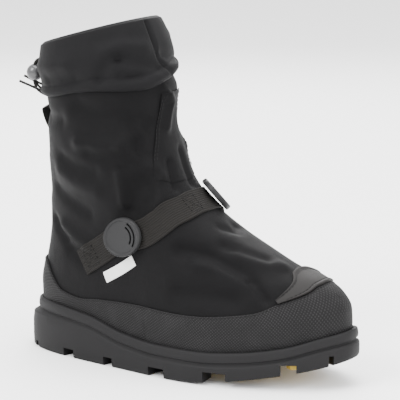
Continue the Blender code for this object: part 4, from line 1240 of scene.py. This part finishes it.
def make_buckle(name, spot, route, node_name):
    turned = buckle_place(spot, route)
    angles = np.linspace(0, 2 * math.pi, BUCKLE_SIDES, endpoint=False)
    flat = np.maximum(0.0, np.cos(angles - BUCKLE_FLAT_TURN)) ** 4
    rings = []
    for row in BUCKLE_RIMS:
        scale = row.size * (1 - BUCKLE_FLAT_DEPTH * flat)
        ribs = 0.0
        if 0.2 < row.height < 0.9 and row.size > 0.97:
            low = np.maximum(0.0, np.cos(angles - BUCKLE_GRIP_TURN))
            ribs = BUCKLE_GRIP_HEIGHT * np.sin(angles * BUCKLE_GRIPS) * (low > 0.55)
        x = np.cos(angles) * (BUCKLE_LENGTH / 2 * scale + ribs)
        y = np.sin(angles) * (BUCKLE_WIDTH / 2 * scale + ribs)
        rings.append(np.stack([x, y, np.full(BUCKLE_SIDES, row.height * BUCKLE_THICKNESS)], axis=-1))
    body = stack(name, rings, plastic)
    cutters = []
    for share in BUCKLE_SLOT_PLACES:
        radius = share * BUCKLE_WIDTH / 2
        hole = bmesh.new()
        rows = []
        for degrees in BUCKLE_SLOT_TURNS:
            turn = math.radians(degrees)
            way = Vector((math.cos(turn), math.sin(turn), 0))
            near, far = way * (radius - BUCKLE_SLOT / 2), way * (radius + BUCKLE_SLOT / 2)
            deep, high = Vector((0, 0, BUCKLE_SLOT_FLOOR)), Vector((0, 0, BUCKLE_THICKNESS + 0.004))
            section = (near + deep, far + deep, far + high, near + high)
            rows.append([hole.verts.new(point) for point in section])
        for one, two in zip(rows, rows[1:]):
            for i in range(4):
                hole.faces.new((one[i], one[(i + 1) % 4], two[(i + 1) % 4], two[i]))
        hole.faces.new(rows[0])
        hole.faces.new(rows[-1])
        cutters.append(from_bmesh("cutter", hole, plastic))
    carve(body, *cutters)
    body.data.transform(turned)
    return place(body, "buckle_plastic", node_name)


make_buckle("buckle_lateral_plastic", LATERAL_BUCKLE, STRAP_ROUTE[:2], "buckle_lateral")
make_buckle("buckle_medial_plastic", MEDIAL_BUCKLE, (STRAP_ROUTE[-1], STRAP_ROUTE[-2]), "buckle_medial")


def make_pull_loop():
    path = catmull([(row.up, row.out) for row in PULL_LOOP], 8)
    ups, outs = path[:, 0], np.maximum(path[:, 1], 0) * LOOP_STAND_OFF
    outer, inner = [], []
    for share in np.linspace(0, 1, 33):
        way = np.tile(np.array([0.0, 1.0, 0.0]), (len(ups), 1))
        where = slide(np.zeros(len(ups)), ups, way, np.full(len(ups), LOOP_WIDTH * (share - 0.5)))
        rib = 0.00012 * math.cos(2 * math.pi * 8 * share)
        thick = LOOP_THICKNESS * (0.6 if share in (0, 1) else 1.0)
        outer.append(skin(*where, LAY_GAP + outs + thick + rib, fold=0))
        inner.append(skin(*where, LAY_GAP + outs, fold=0))
    return sheet("pull_loop_webbing", outer, inner, olive)


place(make_pull_loop(), "strap_webbing", "pull_loop")


# Stitches


def stitches(name, lines):
    """Short threads along lines of points, each line with its outward directions."""
    points, faces = [], []
    for line, out in lines:
        run = np.concatenate([[0], np.cumsum(np.linalg.norm(np.diff(line, axis=0), axis=1))])
        start = STITCH_START
        while start + STITCH_LENGTH < run[-1]:
            ends = [
                np.array([np.interp(at, run, line[:, k]) for k in range(3)])
                for at in (start, start + STITCH_LENGTH)
            ]
            lift = np.array([np.interp(start, run, out[:, k]) for k in range(3)])
            heading = unit(ends[1] - ends[0])
            side = unit(np.cross(lift, heading))
            lift = np.cross(heading, side)
            base = len(points)
            for ring in STITCH_RINGS:
                middle = mix(ends[0], ends[1], ring.place)
                for step in range(STITCH_SIDES):
                    turn = 2 * math.pi * step / STITCH_SIDES
                    way = math.cos(turn) * side + math.sin(turn) * lift
                    points.append(middle + way * STITCH_RADIUS * ring.size)
            spans = len(STITCH_RINGS) - 1
            for row in range(spans):
                for step in range(STITCH_SIDES):
                    a = base + row * STITCH_SIDES + step
                    b = base + row * STITCH_SIDES + (step + 1) % STITCH_SIDES
                    faces.append((a, b, b + STITCH_SIDES, a + STITCH_SIDES))
            faces.append(tuple(base + step for step in reversed(range(STITCH_SIDES))))
            faces.append(tuple(base + spans * STITCH_SIDES + step for step in range(STITCH_SIDES)))
            start += STITCH_LENGTH + STITCH_GAP
    return add(name, np.array(points), faces, thread)


def on_line(spots, lift, per_span=16, surface_of=skin):
    flat = catmull(spots, per_span)
    angles, ups = np.radians(flat[:, 0]), flat[:, 1]
    return surface_of(angles, ups, np.full(len(ups), lift)), directions(angles, ups)[2]


flap_lift = LAY_GAP + FLAP_THICKNESS + 0.0001
place(stitches("flap_stitches", [on_line(spots, flap_lift) for spots in FLAP_SEAMS]), "upper_nylon")

edge_angles = np.concatenate([ANGLES, ANGLES[:1] + 2 * math.pi])
rand_line = rand_top(edge_angles) - 0.07
rand_points = skin(edge_angles, rand_line, np.full(len(edge_angles), LAY_GAP + RAND_THICKNESS + 0.0001))
place(stitches("rand_stitches", [(rand_points, directions(edge_angles, rand_line)[2])]), "rand_cloth")

cap_turns = np.radians(np.linspace(TOE_CAP_TURN + 4, 356 - TOE_CAP_TURN, 90))
cap_front = rand_top(cap_turns) + TOE_CAP_SEAM
cap_back = smooth(TOE_CAP, "turn", "back", turn_from_back(cap_turns))
cap_lines = []
for share in (0.17, 0.83):
    cap_up = mix(cap_front, cap_back, share)
    lift = np.full(len(cap_turns), LAY_GAP + TOE_CAP_THICKNESS + 0.0001)
    cap_lines.append((skin(cap_turns, cap_up, lift), directions(cap_turns, cap_up)[2]))
place(stitches("toe_cap_stitches", cap_lines), "toe_cap_rubber")

box_lines = []
box_top = np.full(BOX_STEPS, LAY_GAP + WEBBING_THICKNESS + 0.0002)
for box in STITCH_BOXES:
    first, second = (point_of(math.radians(turn), up) for turn, up in box)
    turn, up = math.radians(box.start[0]), box.start[1]
    heading = np.array((second - first).normalized())
    aside = unit(np.cross(np.array(out_of(turn, up)), heading))
    for (a, b), (c, d) in zip(BOX_CORNERS, BOX_CORNERS[1:]):
        steps = np.linspace(0, 1, BOX_STEPS)
        run, side = mix(a, c, steps), mix(b, d, steps)
        way = heading * run[:, None] + aside * side[:, None]
        where = slide(np.full(BOX_STEPS, turn), np.full(BOX_STEPS, up), way, np.ones(BOX_STEPS))
        box_lines.append((skin(*where, box_top, fold=0), directions(*where)[2]))
place(stitches("webbing_stitches", box_lines), "strap_webbing")


# Floor and light


def make_floor():
    mesh = bpy.data.meshes.new("floor")
    ways = ((-1, -1), (1, -1), (1, 1), (-1, 1))
    corners = [(x * FLOOR_REACH, y * FLOOR_REACH, -FLOOR_DROP) for x, y in ways]
    mesh.from_pydata(corners, [], [(0, 1, 2, 3)])
    made = bpy.data.materials.new("floor")
    made.use_nodes = True
    shader = made.node_tree.nodes["Principled BSDF"]
    put(shader, Base_Color=FLOOR_COLOUR, Roughness=0.9)
    mesh.materials.append(made)
    linked("floor", mesh)


def make_light(name, position, target, size, watts):
    data = bpy.data.lights.new(name, "AREA")
    data.size = size
    data.energy = watts
    item = linked(name, data)
    way = Vector(target) - Vector(position)
    item.matrix_world = Matrix.Translation(position) @ way.to_track_quat("-Z", "Y").to_matrix().to_4x4()


make_floor()
for light in LIGHTS:
    make_light(*light)

world = bpy.data.worlds.new("studio")
world.use_nodes = True
put(world.node_tree.nodes["Background"], Color=(1.0, 1.0, 1.0, 1.0), Strength=WORLD_STRENGTH)
bpy.context.scene.world = world
